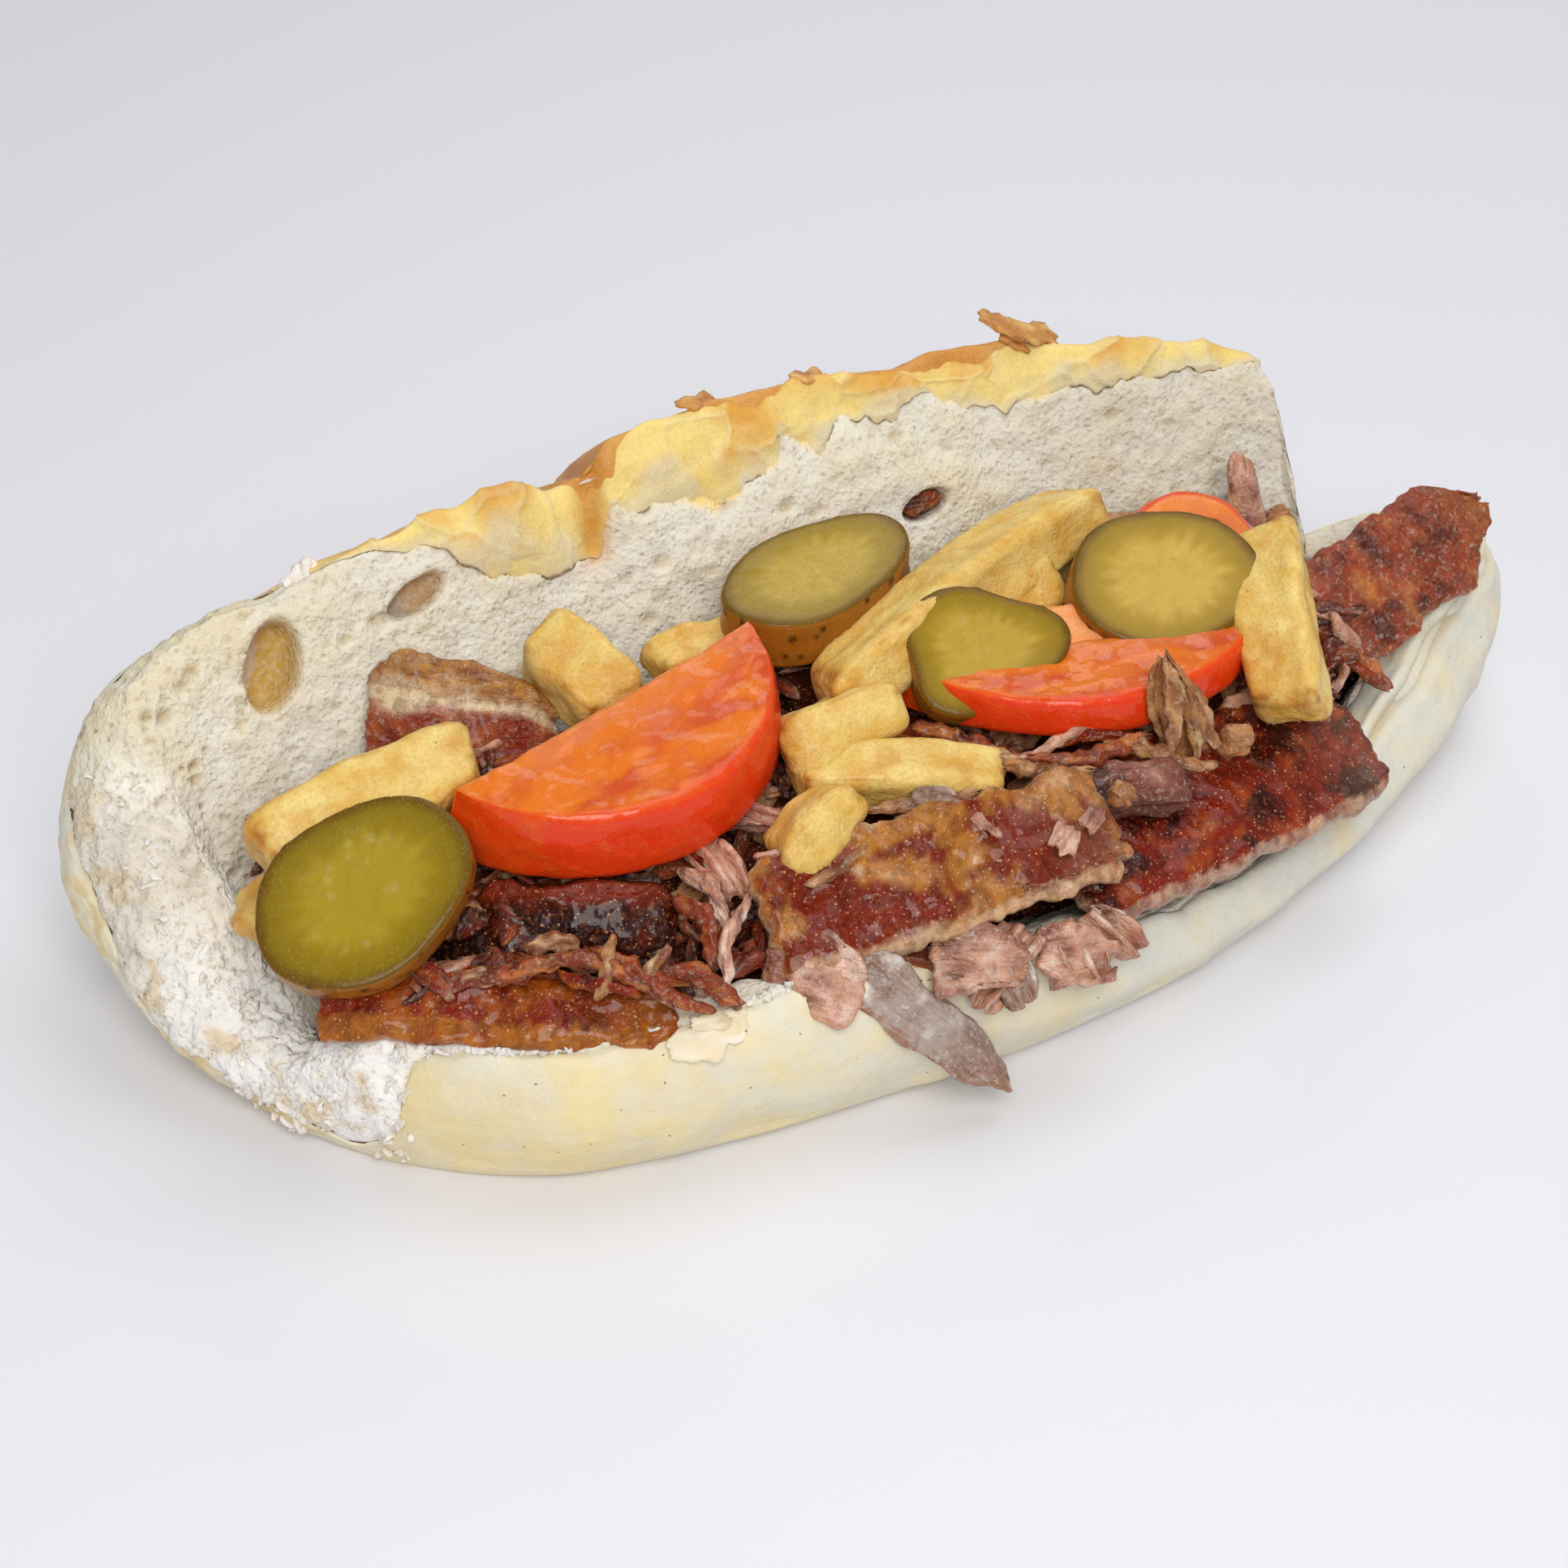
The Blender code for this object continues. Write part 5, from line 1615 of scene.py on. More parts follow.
# Torn strands that lie on the slices.
STRANDS = (
    Wisp("strand_pale", (-53, -39, 33), (-43, -26, 38.5), 2.2, 1.8, 1.2, 0.7, Roast.PINK),
    Wisp("strand_gold", (-76, -20, 37), (-69, -25, 37), 3.1, 1.6, 0.6, 0.6, Roast.TAN),
    Wisp("strand_yellow", (-88, -20, 34), (-81, -23, 34.5), 2.7, 1.3, 0.4, 0.4, Roast.FATTY),
    Wisp("strand_upright", (-63, -34, 34), (-58.5, -32, 39), 2.0, 1.2, 0.5, 0.6, Roast.FATTY),
    Wisp("strand_long", (-77, -21, 36.5), (-60, -38, 34), 2.7, 2.6, 1.4, 1.0, Roast.RUST),
    Wisp("strand_front", (-69, -27, 37), (-55, -40, 32.5), 2.8, 2.2, 1.2, 1.1, Roast.RUST),
    Wisp("strand_left", (-84, -21, 35), (-72, -27, 36.5), 2.7, 2.2, 0.9, 0.9, Roast.RUST),
    Wisp("strand_cross", (-63, -26, 38), (-71, -34, 35.5), 2.0, 1.8, 0.8, 0.9, Roast.TAN),
    Wisp("strand_red", (-73, -27, 36.5), (-65, -36, 34), 1.9, 2.0, 1.0, 1.2, Roast.GLAZED),
    Wisp("strand_end", (-61, -33, 36), (-50, -40, 31.5), 3.4, 2.4, 1.0, 1.0, Roast.RUST),
    Wisp("strand_low", (-51, -21, 37.5), (-51, -34, 34), 3.1, 2.6, 1.2, 1.0, Roast.RUST),
    Wisp("strand_mid", (-49, -16, 38), (-46, -29, 36), 2.7, 2.2, 1.2, 1.0, Roast.PINK),
    Wisp("strand_deep", (-44, -10, 38), (-47, -22, 36.5), 2.3, 2.2, 1.2, 1.0, Roast.RED_BROWN),
    Wisp("strand_behind", (-7, -3, 38.5), (10, -16, 39.5), 3.1, 2.4, 1.4, 1.0, Roast.RUST),
    Wisp("strand_middle", (0, -14, 40.5), (16, -26, 40), 3.4, 2.4, 1.2, 1.0, Roast.TAN),
    Wisp("strand_ridge", (8, -21, 41.5), (27, -25, 41), 2.8, 2.4, 1.2, 1.0, Roast.RUST),
    Wisp("strand_right", (19, -23, 40.5), (36, -30, 38), 2.7, 2.2, 1.2, 1.0, Roast.TAN),
    Wisp("strand_red_right", (14, -19, 41), (31, -27, 40), 2.0, 2.0, 1.4, 1.2, Roast.GLAZED),
    Wisp("strand_thin", (5, -17, 41), (20, -21, 41.5), 1.7, 1.6, 1.4, 1.2, Roast.PINK),
    Wisp("fan_left", (30.0, -28.0, 38), (30.3, -22.3, 53.5), 3.0, 1.4, 0.4, 0.4, Roast.TAN),
    Wisp("fan_middle", (33.5, -28.5, 38), (31.2, -22.6, 52), 2.6, 1.4, 0.5, 0.4, Roast.FATTY),
    Wisp("fan_right", (37.5, -28, 39), (32.5, -22.6, 49.5), 3.0, 1.4, 0.5, 0.4, Roast.TAN),
    Wisp("slab_ridge", (-39, -22, 39.5), (-27, -26, 40.5), 2.0, 1.4, 0.8, 0.7, Roast.PINK),
    Wisp("slab_crumbs", (-35, -29, 38.8), (-22, -27, 40), 1.8, 1.2, 0.5, 0.6, Roast.TAN),
    Wisp("slab_back", (-20, -21, 41), (-3, -24.5, 41.8), 2.2, 1.6, 0.6, 0.6, Roast.TAN),
    Wisp("slab_cross", (-8, -24, 41.5), (-5, -34, 40.5), 1.8, 1.2, 0.4, 0.5, Roast.PINK),
)


@dataclass
class Fry(Morsel):
    """A potato fry: the ends of its middle line, its two widths, its roll and its bend."""

    start: Triple
    end: Triple
    width: float
    depth: float
    roll: float
    bend: float
    golden: float = 0.65

    EDGE = 2.3

    YELLOW = tint("E2B656")
    PALE = tint("F0D684")
    GOLDEN = tint("D08E26")
    BROWNED = tint("AE6412")

    def block(self) -> tuple[Vector, float, Matrix]:
        """Gives the fry's half sizes, edge radius and placement.

        Returns:
            The half sizes, the radius and the placement.
        """
        start, end = Vector(self.start), Vector(self.end)
        line = end - start
        up = Matrix.Rotation(math.radians(self.roll), 3, line.normalized()) @ Vector((0, 0, 1))
        half = Vector((line.length / 2, self.width / 2, self.depth / 2))
        return half, self.EDGE, axes_matrix((start + end) / 2, line, up)

    def form(self, point: Vector, half: Vector) -> Vector:
        """Bends the bar and makes its thickness uneven.

        Args:
            point: A point of the rounded block.
            half: The block's half sizes.

        Returns:
            Where the point goes.
        """
        u, v, w = (a / b for a, b in zip(point, half))
        uneven = 1.0 + 0.2 * noise.noise(Vector((u * 1.6, 0.7 * v, 0.7 * w)) + Vector(self.start) * 0.21)
        uneven -= 0.17 * abs(u) ** 3
        slant = 0.12 * self.width * v * u * abs(u) ** 5
        return Vector((point.x + slant, point.y * uneven, point.z * uneven + self.bend * (1 - u * u)))

    def relief(self, spot: Spot) -> float:
        """Gives the wrinkles and dents of the fried skin.

        Args:
            spot: The spot to read.

        Returns:
            How far the surface stands out there.
        """
        place = Vector((spot.point.x * 0.45, spot.point.y, spot.point.z)) + Vector(self.start)
        crisp = 0.1 * grain(place, 1.3, 2, 6.0)
        sunk = 0.35 * ease(0.9, 0.1, abs(spot.cube.y)) * abs(spot.normal.z)
        return 0.35 * grain(place, 4.0, 3) + crisp - sunk

    def tone(self, spot: Spot) -> Colour:
        """Gives the golden colour, browned at the tips and along the edges.

        Args:
            spot: The spot to read.

        Returns:
            The colour there.
        """
        place = spot.point + Vector(self.start)
        patch = grain(place, 5.0, 3)
        tone = blend(self.YELLOW, self.PALE, 0.4 + 1.1 * patch)
        tone = blend(tone, self.GOLDEN, self.golden * ease(0.05, 0.6, grain(place, 9.0, 2, 12.0)))
        low = sorted(abs(c) for c in spot.cube)[1]
        tip = ease(0.88, 1.0, abs(spot.cube.x)) + 0.8 * ease(0.82, 1.0, low)
        return blend(tone, self.BROWNED, tip * (0.2 + 0.8 * grain(place, 3.0, 2, 4.0)))


FRIES = (
    Fry("fry_left_low", (-107.2, 11, 29.5), (-100.5, 4, 37.5), 8.0, 8.0, 20, 0.5),
    Fry("fry_left", (-104, 8, 41.5), (-70, 10, 47.5), 13.0, 12.0, 25, 1.6),
    Fry("fry_back_left", (-50.5, 30, 51), (-45, 13, 45.5), 12.0, 10.5, 15, 1.0),
    Fry("fry_back_short", (-36, 21, 46), (-18, 19.5, 46), 9.0, 8.0, 10, 0.4),
    Fry("fry_back_shaded", (40, 22, 44), (26, 21, 43), 9.0, 8.0, 10, 0.4),
    Fry("fry_centre_behind", (31, 14.5, 46), (12, 10, 43), 11.0, 10.0, 30, 0.6),
    Fry("fry_long", (43, 23, 51), (-15, 2, 45), 12.5, 11.0, 20, 2.0, golden=0.1),
    Fry("fry_centre_end", (-7, -4.5, 45), (-26, -5, 43), 11.5, 10.0, 40, 0.8),
    Fry("fry_front_flat", (-26, -8, 41.5), (4, -20, 38), 10.0, 8.0, 10, 1.0),
    Fry("fry_front_tip", (-22.5, -18.5, 43.5), (-35, -23, 37.5), 10.5, 9.0, 30, 0.5),
    Fry("fry_right", (65, 2.5, 51), (52, -26.5, 39), 12.5, 11.0, 25, 1.2),
)


@dataclass
class Cutting(Morsel):
    """A bit cut from a round fruit: its middle, the way it faces and its long direction."""

    centre: Triple
    facing: Triple
    along: Triple

    def placement(self) -> Matrix:
        """Gives the placement of its block."""
        return axes_matrix(Vector(self.centre), Vector(self.along), Vector(self.facing))


@dataclass
class PickleSlice(Cutting):
    """A slice of pickle: its two half widths, its thickness, its corner and how ripe it is."""

    long: float
    wide: float
    thick: float
    corner: float
    ripe: float = 0.5

    EDGE = 0.7
    SEEDS = (2.6, 0.45)
    WART_SIZE = 2.8
    WARTS_RAISED = 0.7
    WARTS_DARK = 0.85

    FLESH = (tint("8E7606"), tint("B4922A"))
    INNER = (tint("A28A14"), tint("D2AE50"))
    SEED = (0.8, 0.7, 0.4)
    SKIN = tint("A06018")
    WART = tint("4C2608")
    RIM = tint("66480C")

    def block(self) -> tuple[Vector, float, Matrix]:
        """Gives the slice's half sizes, edge radius and placement."""
        return Vector((self.long, self.wide, self.thick / 2)), self.EDGE, self.placement()

    def form(self, point: Vector, half: Vector) -> Vector:
        """Rounds the block into a disc, with a little of a corner where the pickle had one.

        Args:
            point: A point of the rounded block.
            half: The block's half sizes.

        Returns:
            Where the point goes.
        """
        u, v = point.x / half.x, point.y / half.y
        ring = max(abs(u), abs(v))
        if ring < 1e-6:
            return point
        angle = math.atan2(v, u)
        swell = 1.0 + self.corner * math.cos(3 * angle) + 0.015 * math.sin(5 * angle + self.long)
        x, y = ring * math.cos(angle) * half.x * swell, ring * math.sin(angle) * half.y * swell
        return Vector((x, y, point.z))

    def relief(self, spot: Spot) -> float:
        """Gives the sunken face with its seeds, and the bumpy skin.

        Args:
            spot: The spot to read.

        Returns:
            How far the surface stands out there.
        """
        place = spot.point + Vector(self.centre)
        ring = max(abs(spot.cube.x), abs(spot.cube.y))
        face = abs(spot.normal.z)
        seeds = pits(place, *self.SEEDS) * ease(0.7, 0.55, ring)
        sunk = 0.4 * ease(0.95, 0.3, ring)
        warts = pits(place, self.WART_SIZE, self.WARTS_RAISED)
        return face * (0.18 * seeds - sunk) + 0.1 * grain(spot.point, 3.0, 3) + 0.25 * warts * (1 - face)

    def tone(self, spot: Spot) -> Colour:
        """Gives the flesh with its paler middle and seeds, and the dark skin round it.

        Args:
            spot: The spot to read.

        Returns:
            The colour there.
        """
        place = spot.point + Vector(self.centre)
        ring = max(abs(spot.cube.x), abs(spot.cube.y)) + 0.03 * noise.noise(spot.point / 3.0)
        flesh, inner = blend(*self.FLESH, self.ripe), blend(*self.INNER, self.ripe)
        angle = math.atan2(spot.cube.y, spot.cube.x)
        rays = noise.noise(Vector((3.0 * math.cos(angle), 3.0 * math.sin(angle), 0.6 * ring)) * 2.2)
        tone = blend(inner, flesh, ease(0.45, 0.72, ring + 0.1 * rays) + 0.25 * rays)
        seeds = pits(place, *self.SEEDS) * ease(0.7, 0.55, ring)
        tone = blend(tone, blend(inner, self.SEED, 0.4), 0.28 * seeds)
        tone = blend(tone, self.RIM, 0.35 * ease(0.6, 0.9, ring) + 0.6 * ease(0.84, 0.97, ring))
        warts = pits(place, self.WART_SIZE, self.WARTS_DARK)
        skin = blend(self.SKIN, self.WART, 1.2 * warts + 0.3 * grain(spot.point, 4.0, 2))
        return blend(tone, skin, ease(0.75, 0.4, abs(spot.normal.z)))


PICKLES = (
    PickleSlice("pickle_left", (-94, -6, 42), (-0.24, -0.47, 0.85), (0.9, 0.1, 0.35),
                16.9, 12.8, 5.5, 0.02, ripe=0.1),
    PickleSlice("pickle_back", (-6.5, 22, 51), (0.0, -0.05, 1.0), (0.94, 0.34, 0.0),
                18.5, 10.8, 8.5, 0.03),
    PickleSlice("pickle_centre", (10, -1, 48), (-0.27, -0.54, 0.8), (1.0, -0.2, 0.0),
                13.0, 10.2, 5.0, 0.12),
    PickleSlice("pickle_right", (44, 0, 49), (0.06, -0.5, 0.86), (0.95, -0.25, 0.0),
                15.8, 12.2, 7.5, 0.02, ripe=0.8),
)


@dataclass
class TomatoWedge(Cutting):
    """A piece of tomato: a ball cut by two faces, and by a straight cut across them."""

    radius: float
    thick: float
    offset: float
    cut: float
    pale: float = 0.0
    edge: float = 1.6

    REACH_SHARE = 0.965

    FLESH = tint("E87408")
    STREAK = tint("D04606")
    PEACH = tint("F8B070")
    SKIN = tint("E83A0E")

    def block(self) -> tuple[Vector, float, Matrix]:
        """Gives the wedge's half sizes, edge radius and placement.

        Returns:
            The half sizes, the radius and the placement.
        """
        reach = math.sqrt(self.radius**2 - self.cut**2)
        half = Vector((reach, (self.radius - self.cut) / 2, self.thick / 2))
        return half, self.edge, self.placement()

    def form(self, point: Vector, half: Vector) -> Vector:
        """Curves the block's front into the ball's skin and leaves its back as the straight cut.

        Args:
            point: A point of the rounded block.
            half: The block's half sizes.

        Returns:
            Where the point goes.
        """
        u, v = point.x / half.x, point.y / half.y
        ring = math.sqrt(self.radius**2 - (self.offset + point.z) ** 2)
        x = math.sqrt(ring**2 - self.cut**2) * math.sin(u * math.pi / 2 * self.REACH_SHARE)
        arc = math.sqrt(ring**2 - x**2)
        return Vector((x, -self.cut + (arc - self.cut) * (v - 1.0) / 2, point.z))

    def relief(self, spot: Spot) -> float:
        """Gives the soft ripples of the cut flesh and the skin's faint folds."""
        place = spot.point + Vector(self.centre)
        return 0.3 * grain(place, 6.0, 2) + 0.12 * grain(place, 1.6, 2) * abs(spot.normal.z)

    def tone(self, spot: Spot) -> Colour:
        """Gives the orange flesh with redder streaks, and the red skin.

        Args:
            spot: The spot to read.

        Returns:
            The colour there.
        """
        place = spot.point + Vector(self.centre)
        streak = grain(Vector((place.x * 0.5, place.y, place.z)), 4.0, 3, 3.0)
        tone = blend(self.FLESH, self.STREAK, 0.3 + 1.4 * streak)
        tone = blend(tone, self.PEACH, max(self.pale, 0.28 * ease(0.2, 1.0, spot.cube.y + streak)))
        skin = ease(0.3, 0.7, -spot.normal.y) * ease(0.85, 0.5, abs(spot.normal.z))
        rim = ease(-0.78, -1.0, spot.cube.y)
        return blend(tone, self.SKIN, max(skin, 0.8 * rim))


TOMATOES = (
    TomatoWedge("tomato_half_slice", (-51.2, 13.1, 48), (-0.04, -0.1, 0.99), (0.96, 0.26, 0.05),
                30.5, 12.0, 3.0, 6.0),
    TomatoWedge("tomato_rim_slice", (30.5, 12.2, 43), (-0.03, 0.05, 1.0), (0.98, -0.2, 0.0),
                34.0, 7.0, 2.0, 16.5),
    TomatoWedge("tomato_chunk", (29.7, 5, 47.3), (-0.2, -0.5, 0.85), (1.0, -0.15, 0.0),
                13.0, 8.0, 1.0, 1.0, pale=0.7),
    TomatoWedge("tomato_tip", (54, 7.5, 45.3), (-0.3, -0.5, 0.8), (-0.75, 0.55, 0.35),
                12.5, 8.0, 1.0, 1.0, pale=0.35),
)


@dataclass
class MeatHeap:
    """The heap of shredded meat: a lumpy core with the shreds that show strewn over it."""

    form: LoafForm
    gap: float = 1.6
    foot: float = 0.6
    bump: float = 1.5
    bump_size: float = 9.0
    edge_up: float = 3.0
    front_up: float = 25.0
    back_rise: float = 16.0
    depth: float = 60.0
    front_y: float = -38.0
    ends: tuple[float, float] = (-118.0, 112.0)
    runs: tuple[float, float] = (34.0, 45.0)
    columns: int = 240
    shreds: int = 500
    shred_step: float = 1.3
    strewn: tuple[float, float] = (-98.0, 76.0)
    strewn_back: float = 22.0
    seed: int = 11

    BROWN = tint("5A2214")
    DEEP = tint("200A06")
    ROASTS = (
        Roast.RUST, Roast.RUST, Roast.CHARRED, Roast.TAN, Roast.PINK, Roast.RED_BROWN, Roast.RED_BROWN,
    )

    def height(self, x: float, y: float) -> float:
        """Gives the top of the heap above the ground.

        Args:
            x: Where along the loaf.
            y: Where from front to back.

        Returns:
            The height.
        """
        back = max(0.0, min(1.0, (y - self.front_y) / self.depth))
        slope = self.front_up + self.back_rise * back**0.8
        left = max(0.0, min(1.0, (x - self.ends[0]) / self.runs[0]))
        right = max(0.0, min(1.0, (self.ends[1] - x) / self.runs[1]))
        share = math.sin(left * math.pi / 2) * math.sin(right * math.pi / 2)
        bump = self.bump * noise.noise(Vector((x / self.bump_size, y / self.bump_size, 4.0)))
        edge = self.form.crumb_floor + self.edge_up
        return edge + (slope - edge) * share + bump

    def point(self, turn: float, place: float) -> Vector:
        """Places a point of the heap's skin: 0 to 1 the foot, to 2 the shore, to 3 the top.

        Args:
            turn: The turn round the loaf.
            place: The place on the skin, from 0 to 3.

        Returns:
            The point.
        """
        station, _ = self.form.column(turn)
        bottom = self.form.crumb_floor + self.gap
        shore = self.form.beside(station, station.section.knee - self.gap, 0.0)
        shore.z = min(station.section.knee_z, self.height(shore.x, shore.y)) + 1.0
        pole = Vector((0.0, self.form.pole_y, bottom))
        edge = pole.lerp(Vector((shore.x, shore.y, bottom)), self.foot)
        if place <= 1.0:
            return pole.lerp(edge, place)
        if place <= 2.0:
            return edge.lerp(shore, place - 1.0)
        top = shore.lerp(pole, place - 2.0)
        rise = min(1.0, (place - 2.0) * 6.0)
        top.z = shore.z + (self.height(top.x, top.y) - shore.z) * rise
        return top

    def strewn_front(self, x: float) -> float:
        """Gives how far to the front the shreds lie: behind the edge of the slices."""
        return -32.0 + 0.28 * max(0.0, x - 10.0) + 0.5 * max(0.0, -x - 60.0)

    def build_core(self) -> None:
        """Models the core as one lumpy closed body."""
        turns = [(turn + 0.05) % 360.0 for turn in spaced(0.0, 360.0, self.columns)]
        places = [0.0, 0.5] + spaced(1.0, 2.0, 6) + spaced(2.0, 3.0, 60) + [3.0]
        bm, _ = mapped_skin(turns, places, self.point)
        moves = [vert.normal * (0.7 * grain(vert.co, 4.0, 3) - 0.6) for vert in bm.verts]
        for vert, move in zip(bm.verts, moves):
            vert.co += move
        tones = [blend(self.BROWN, self.DEEP, 0.6 + grain(v.co, 5.0, 2)) for v in bm.verts]
        Draft.whole(bm, tones).finish("meat_heap_core", MEAT, "meat", ("meat_heap",))

    def build_shreds(self) -> None:
        """Strews shreds over the core by a seeded draw."""
        rng = random.Random(self.seed)
        batch = Draft.empty()
        for index in range(self.shreds):
            x = rng.uniform(*self.strewn)
            y = rng.uniform(self.strewn_front(x), self.strewn_back)
            heading = rng.uniform(-1.4, 1.4)
            length = rng.uniform(6.0, 16.0)
            step = Vector((math.cos(heading), math.sin(heading), rng.uniform(-0.2, 0.3))) * length / 2
            middle = Vector((x, y, self.height(x, y) + rng.uniform(-0.4, 1.2)))
            shred = Strand(
                f"shred_{index}", tuple(middle - step), tuple(middle + step),
                facing=(rng.uniform(-0.6, 0.6), rng.uniform(-0.9, 0.3), 0.8),
                width=rng.uniform(1.6, 4.2),
                thick=rng.uniform(1.0, 2.2),
                bend=rng.uniform(0.3, 1.6),
                twist=rng.uniform(0.2, 1.2),
                shades=rng.choice(self.ROASTS).value,
            )
            batch.join(shred.draft(self.shred_step))
        batch.finish("meat_shreds", FIBROUS, "meat")

    def build(self) -> None:
        """Builds and dresses the heap."""
        self.build_core()
        self.build_shreds()


class Belt(NamedTuple):
    """A stretch of torn bread: its turns, its places, how many tufts it has and how long they are."""

    turns: tuple[float, float]
    places: tuple[float, float]
    count: int
    length: float


class Flake(NamedTuple):
    """A loose flake on the bread: the ends of its middle line, its facing, width, thickness and bend."""

    start: Triple
    end: Triple
    facing: Triple
    width: float
    thick: float
    bend: float


@dataclass
class TornEdge:
    """The white tufts and flakes that stand out where the bread was torn."""

    loaf: Loaf
    seed: int = 5
    step: float = 0.8
    root: float = 0.7
    belts: tuple[Belt, ...] = (
        Belt((164.0, 203.0), (2.6, 3.4), 60, 1.1),
        Belt((204.0, 226.0), (0.3, 3.2), 130, 1.3),
        Belt((192.0, 227.0), (3.1, 4.2), 60, 1.5),
    )
    edge_turns: tuple[float, float] = (226.5, 262.0)
    edge_count: int = 70
    edge_length: float = 0.8
    lid_tufts: tuple[tuple[Triple, Triple], ...] = (
        ((-86, 47.0, 59.6), (-80, 48.4, 61.8)), ((-82, 47.4, 60.8), (-79, 49.0, 62.6)),
    )
    crust_flakes: tuple[Flake, ...] = (
        Flake((54, 50.3, 64.6), (40, 52.6, 72.4), (0.1, -0.35, 0.9), 5.0, 1.3, 0.9),
        Flake((48, 50.0, 66.0), (42.5, 50.0, 68.8), (0.2, -0.6, 0.8), 3.6, 1.0, 0.6),
        Flake((-9, 51.8, 69.4), (-16, 53.0, 71.2), (0.1, -0.3, 0.9), 3.2, 1.0, 0.5),
        Flake((10, 51.0, 69.2), (4, 52.2, 71.2), (0.1, -0.3, 0.9), 3.0, 0.9, 0.4),
    )
    pale_flakes: tuple[Flake, ...] = (
        Flake((-62, -40.2, 26.2), (-50, -40.6, 27.6), (0.05, -0.8, 0.6), 6.0, 0.9, 0.2),
        Flake((-58, -39.0, 28.6), (-52, -39.4, 29.0), (0.05, -0.7, 0.7), 3.0, 0.9, 0.2),
    )

    BREAD = Shades.of("F8F2EA", "E4D6C0", "FFFCF8", "F2E8DA")
    GOLD = Shades.of("CC8A38", "A8642A", "E8BC70", "B87830")
    PEACH = Shades.of("F2E4C4", "E8D2A4", "FCF2E0", "EEDCB4")

    def tuft(self, turn: float, place: float, length: float, rng: random.Random) -> Draft:
        """Models one tuft that stands on the bread.

        Args:
            turn: The turn round the loaf.
            place: The place on its wall.
            length: The most that it stands out, in mm.
            rng: The seeded draw.

        Returns:
            The tuft.
        """
        point, facing = self.loaf.form.surface(turn, place)
        lean = Vector([rng.uniform(-1.0, 1.0) for _ in range(3)])
        line = (facing + lean * 0.9).normalized()
        tip = point + line * rng.uniform(0.5, 1.0) * length
        strand = Strand(
            "tuft", tuple(point - line * self.root), tuple(tip),
            facing=tuple(lean),
            width=rng.uniform(0.8, 2.6),
            thick=rng.uniform(0.4, 0.8),
            bend=rng.uniform(0.0, 0.5),
            twist=rng.uniform(0.0, 0.8),
            shades=self.BREAD,
            fray=1.0,
        )
        return strand.draft(self.step)

    def build(self) -> None:
        """Strews the tufts by a seeded draw and lays the loose flakes."""
        rng = random.Random(self.seed)
        batch = Draft.empty()
        for belt in self.belts:
            for _ in range(belt.count):
                turn, place = rng.uniform(*belt.turns), rng.uniform(*belt.places)
                batch.join(self.tuft(turn, place, belt.length, rng))
        for _ in range(self.edge_count):
            turn = rng.uniform(*self.edge_turns)
            place = self.loaf.edge(turn) + rng.uniform(0.0, 0.12)
            batch.join(self.tuft(turn, place, self.edge_length, rng))
        for start, end in self.lid_tufts:
            strand = Strand(
                "tuft", start, end, facing=(0.0, -0.6, 0.8), width=2.6, thick=1.6, bend=0.3, twist=0.4,
                shades=self.BREAD, fray=0.9,
            )
            batch.join(strand.draft(self.step))
        batch.finish("bread_tufts", CRUMB, "bread")
        for name, flakes, shades in (
            ("bread_crust_flakes", self.crust_flakes, self.GOLD),
            ("bread_pale_flakes", self.pale_flakes, self.PEACH),
        ):
            batch = Draft.empty()
            for flake in flakes:
                batch.join(Strand(name, *flake, twist=0.3, shades=shades, fray=0.6).draft(self.step))
            batch.finish(name, CRUST, "bread")


@dataclass
class Filling:
    """The larger pieces that lie on the heap."""

    meat_step: float = 0.6
    scrap_step: float = 0.5
    fry_step: float = 0.7
    pickle_step: float = 0.6
    tomato_step: float = 0.6

    def build(self) -> None:
        """Builds and dresses each slice, fry, pickle and piece of tomato."""
        for piece in SLICES:
            looks = piece.draft(self.meat_step)
            looks.finish(f"{piece.name}_looks", piece.roast.finish, "meat", (piece.name,))
        for scrap in (*FOLDS, *STRANDS):
            scrap.morsel().draft(self.scrap_step).finish(f"meat_{scrap.name}", scrap.roast.finish, "meat")
        for pieces, step, finish, slot in (
            (FRIES, self.fry_step, FRIED, "fry"),
            (TOMATOES, self.tomato_step, TOMATO, "tomato"),
            (PICKLES, self.pickle_step, PICKLE, "pickle"),
        ):
            for piece in pieces:
                piece.draft(step).finish(f"{piece.name}_looks", finish, slot, (piece.name,))


# ------------ studio


@dataclass(frozen=True)
class Lamp:
    """A soft square light: its place and target in metres, its side and its power."""

    name: str
    place: Triple
    side: float
    power: float
    colour: Triple
    target: Triple = (0.0, 0.0, 0.03)


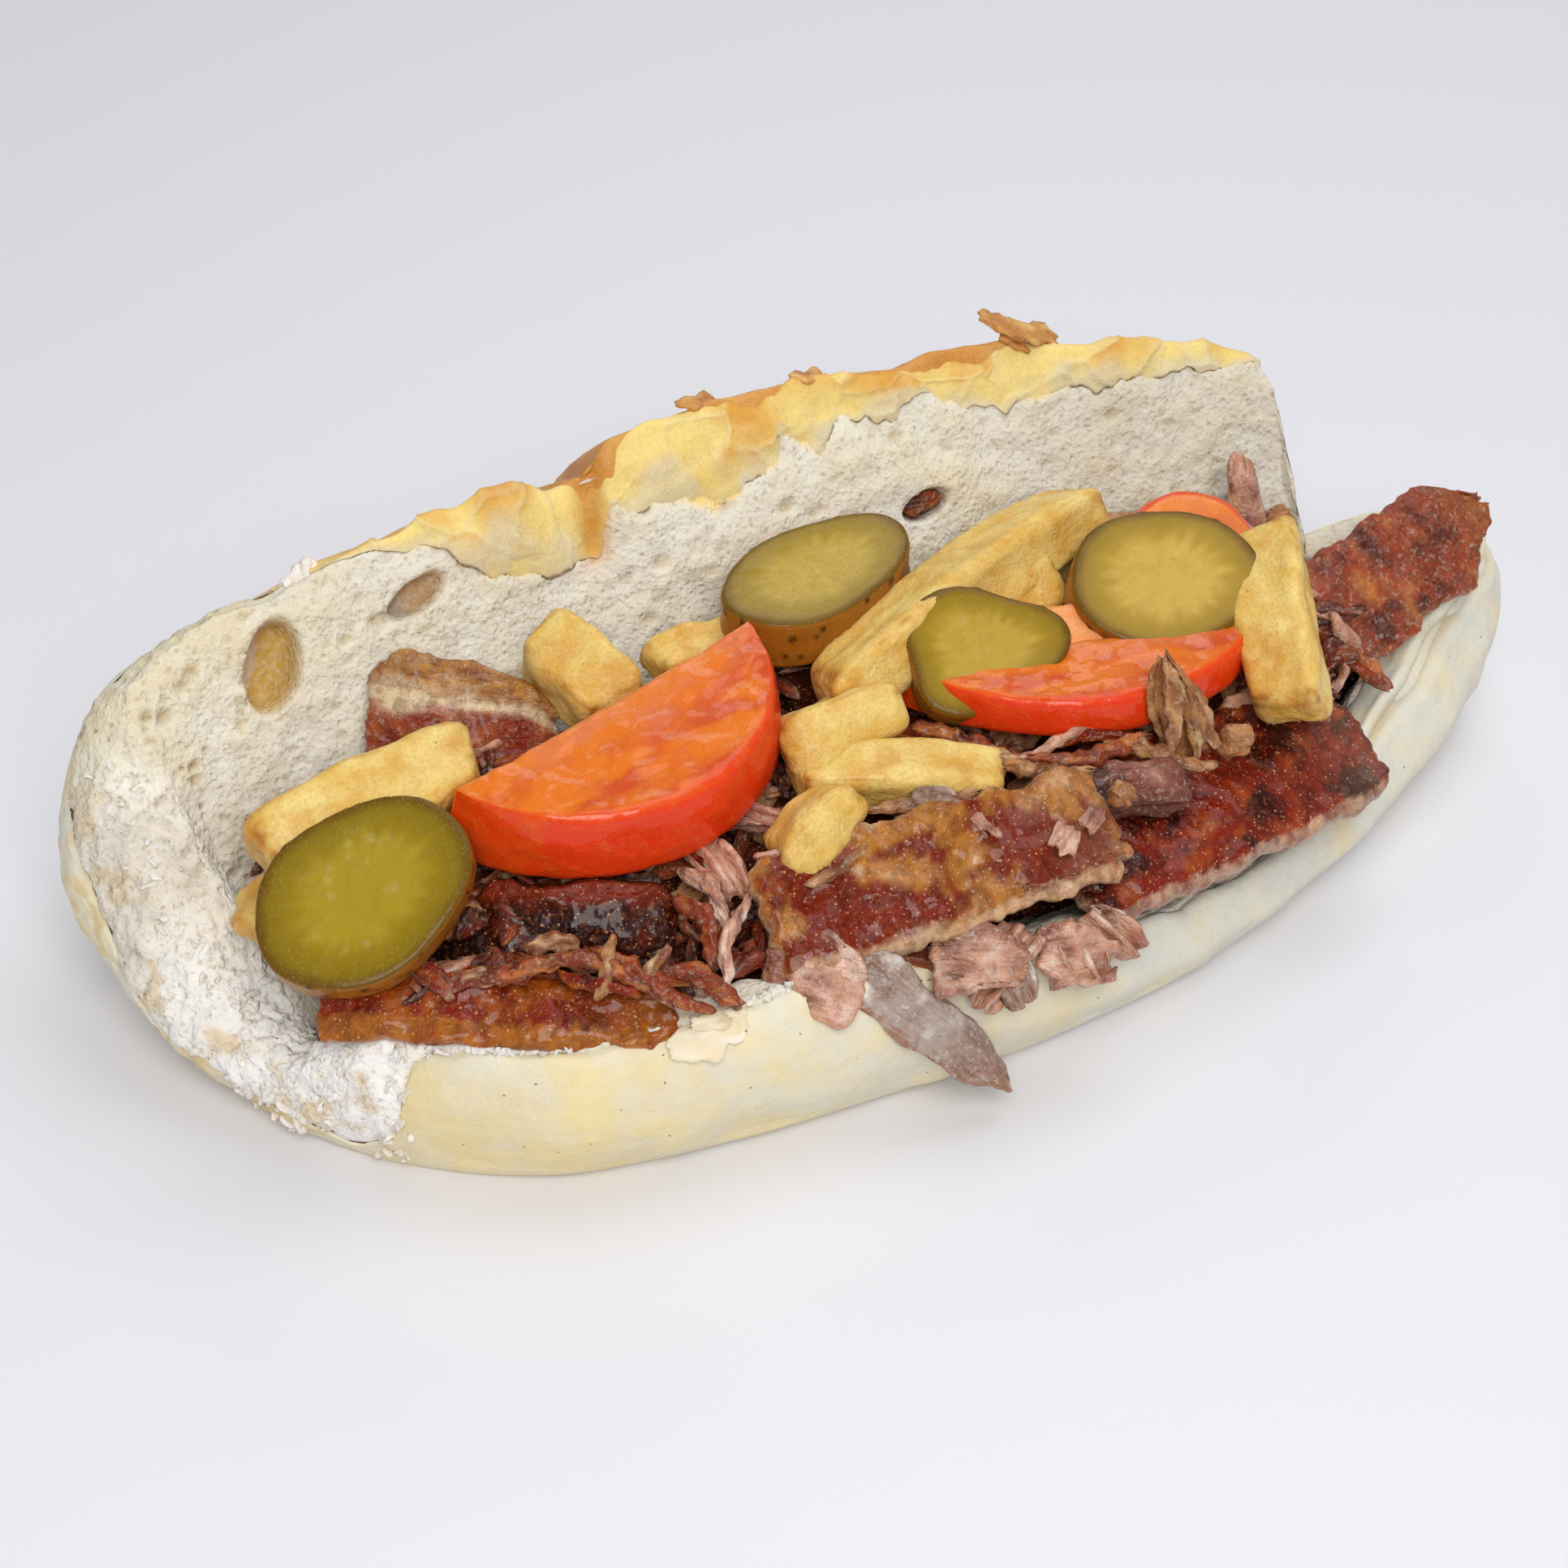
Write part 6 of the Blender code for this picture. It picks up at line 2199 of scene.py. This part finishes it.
@dataclass
class Studio:
    """The plain floor, the soft light and the camera."""

    floor_side: float = 6.0
    floor_cells: int = 8
    floor_colour: str = "E9E9EE"
    floor_roughness: float = 0.55
    sky_colour: str = "EEF0F6"
    sky_strength: float = 0.36
    lamps: tuple[Lamp, ...] = (
        Lamp("front_softbox", (-0.3, -0.75, 0.85), side=0.6, power=8.4, colour=(1.0, 0.985, 0.96)),
        Lamp("overhead_softbox", (0.3, 0.1, 0.9), side=0.7, power=3.0, colour=(0.97, 0.985, 1.0)),
        Lamp("back_softbox", (0.39, 0.77, 0.66), side=0.3, power=0.65, colour=(1.0, 0.99, 0.97)),
    )
    camera_target: Triple = (-0.004, 0.038, 0.0)
    camera_turn: float = -27.0
    camera_rise: float = 38.0
    camera_distance: float = 0.555
    focal_pixels: float = 4000.0
    photo_width: float = 1932.0
    sensor: float = 36.0
    near_clip: float = 0.01

    def build_floor(self) -> None:
        """Lays the floor under the sandwich."""
        bm = bmesh.new()
        cells = self.floor_cells
        bmesh.ops.create_grid(bm, x_segments=cells, y_segments=cells, size=self.floor_side / 2)
        mesh = bpy.data.meshes.new("floor")
        bm.to_mesh(mesh)
        bm.free()
        graph = Graph("pale_floor")
        graph.shader.inputs["Base Color"].default_value = (*tint(self.floor_colour), 1.0)
        graph.shader.inputs["Roughness"].default_value = self.floor_roughness
        mesh.materials.append(graph.material)
        added("floor", mesh)

    def build_lights(self) -> None:
        """Hangs the lamps and sets the sky."""
        for lamp in self.lamps:
            light = bpy.data.lights.new(lamp.name, "AREA")
            light.size = lamp.side
            light.energy = lamp.power
            light.color = lamp.colour
            item = added(lamp.name, light)
            item.location = lamp.place
            item.rotation_euler = (Vector(lamp.target) - item.location).to_track_quat("-Z", "Y").to_euler()
        world = bpy.data.worlds.new("sky")
        world.use_nodes = True
        sky = world.node_tree.nodes["Background"]
        sky.inputs["Color"].default_value = (*tint(self.sky_colour), 1.0)
        sky.inputs["Strength"].default_value = self.sky_strength
        bpy.context.scene.world = world

    def build_camera(self) -> None:
        """Sets the camera where the photograph was taken from."""
        turn, rise = math.radians(self.camera_turn), math.radians(self.camera_rise)
        back = Vector((math.sin(turn) * math.cos(rise), -math.cos(turn) * math.cos(rise), math.sin(rise)))
        data = bpy.data.cameras.new("camera")
        data.lens = self.focal_pixels / self.photo_width * self.sensor
        data.sensor_width = self.sensor
        data.clip_start = self.near_clip
        item = added("camera", data)
        item.location = Vector(self.camera_target) + back * self.camera_distance
        item.rotation_euler = (-back).to_track_quat("-Z", "Y").to_euler()
        bpy.context.scene.camera = item

    def build(self) -> None:
        """Sets up the whole studio."""
        self.build_floor()
        self.build_lights()
        self.build_camera()
        bpy.context.scene.view_settings.view_transform = "Standard"


def main() -> None:
    """Builds the sandwich and its studio."""
    logging.basicConfig(level=logging.INFO, format="%(message)s")
    loaf = Loaf()
    for part in (loaf, TornEdge(loaf), MeatHeap(loaf.form), Filling(), Studio()):
        part.build()
        LOG.info("built the %s", type(part).__name__)


if __name__ == "__main__":
    main()
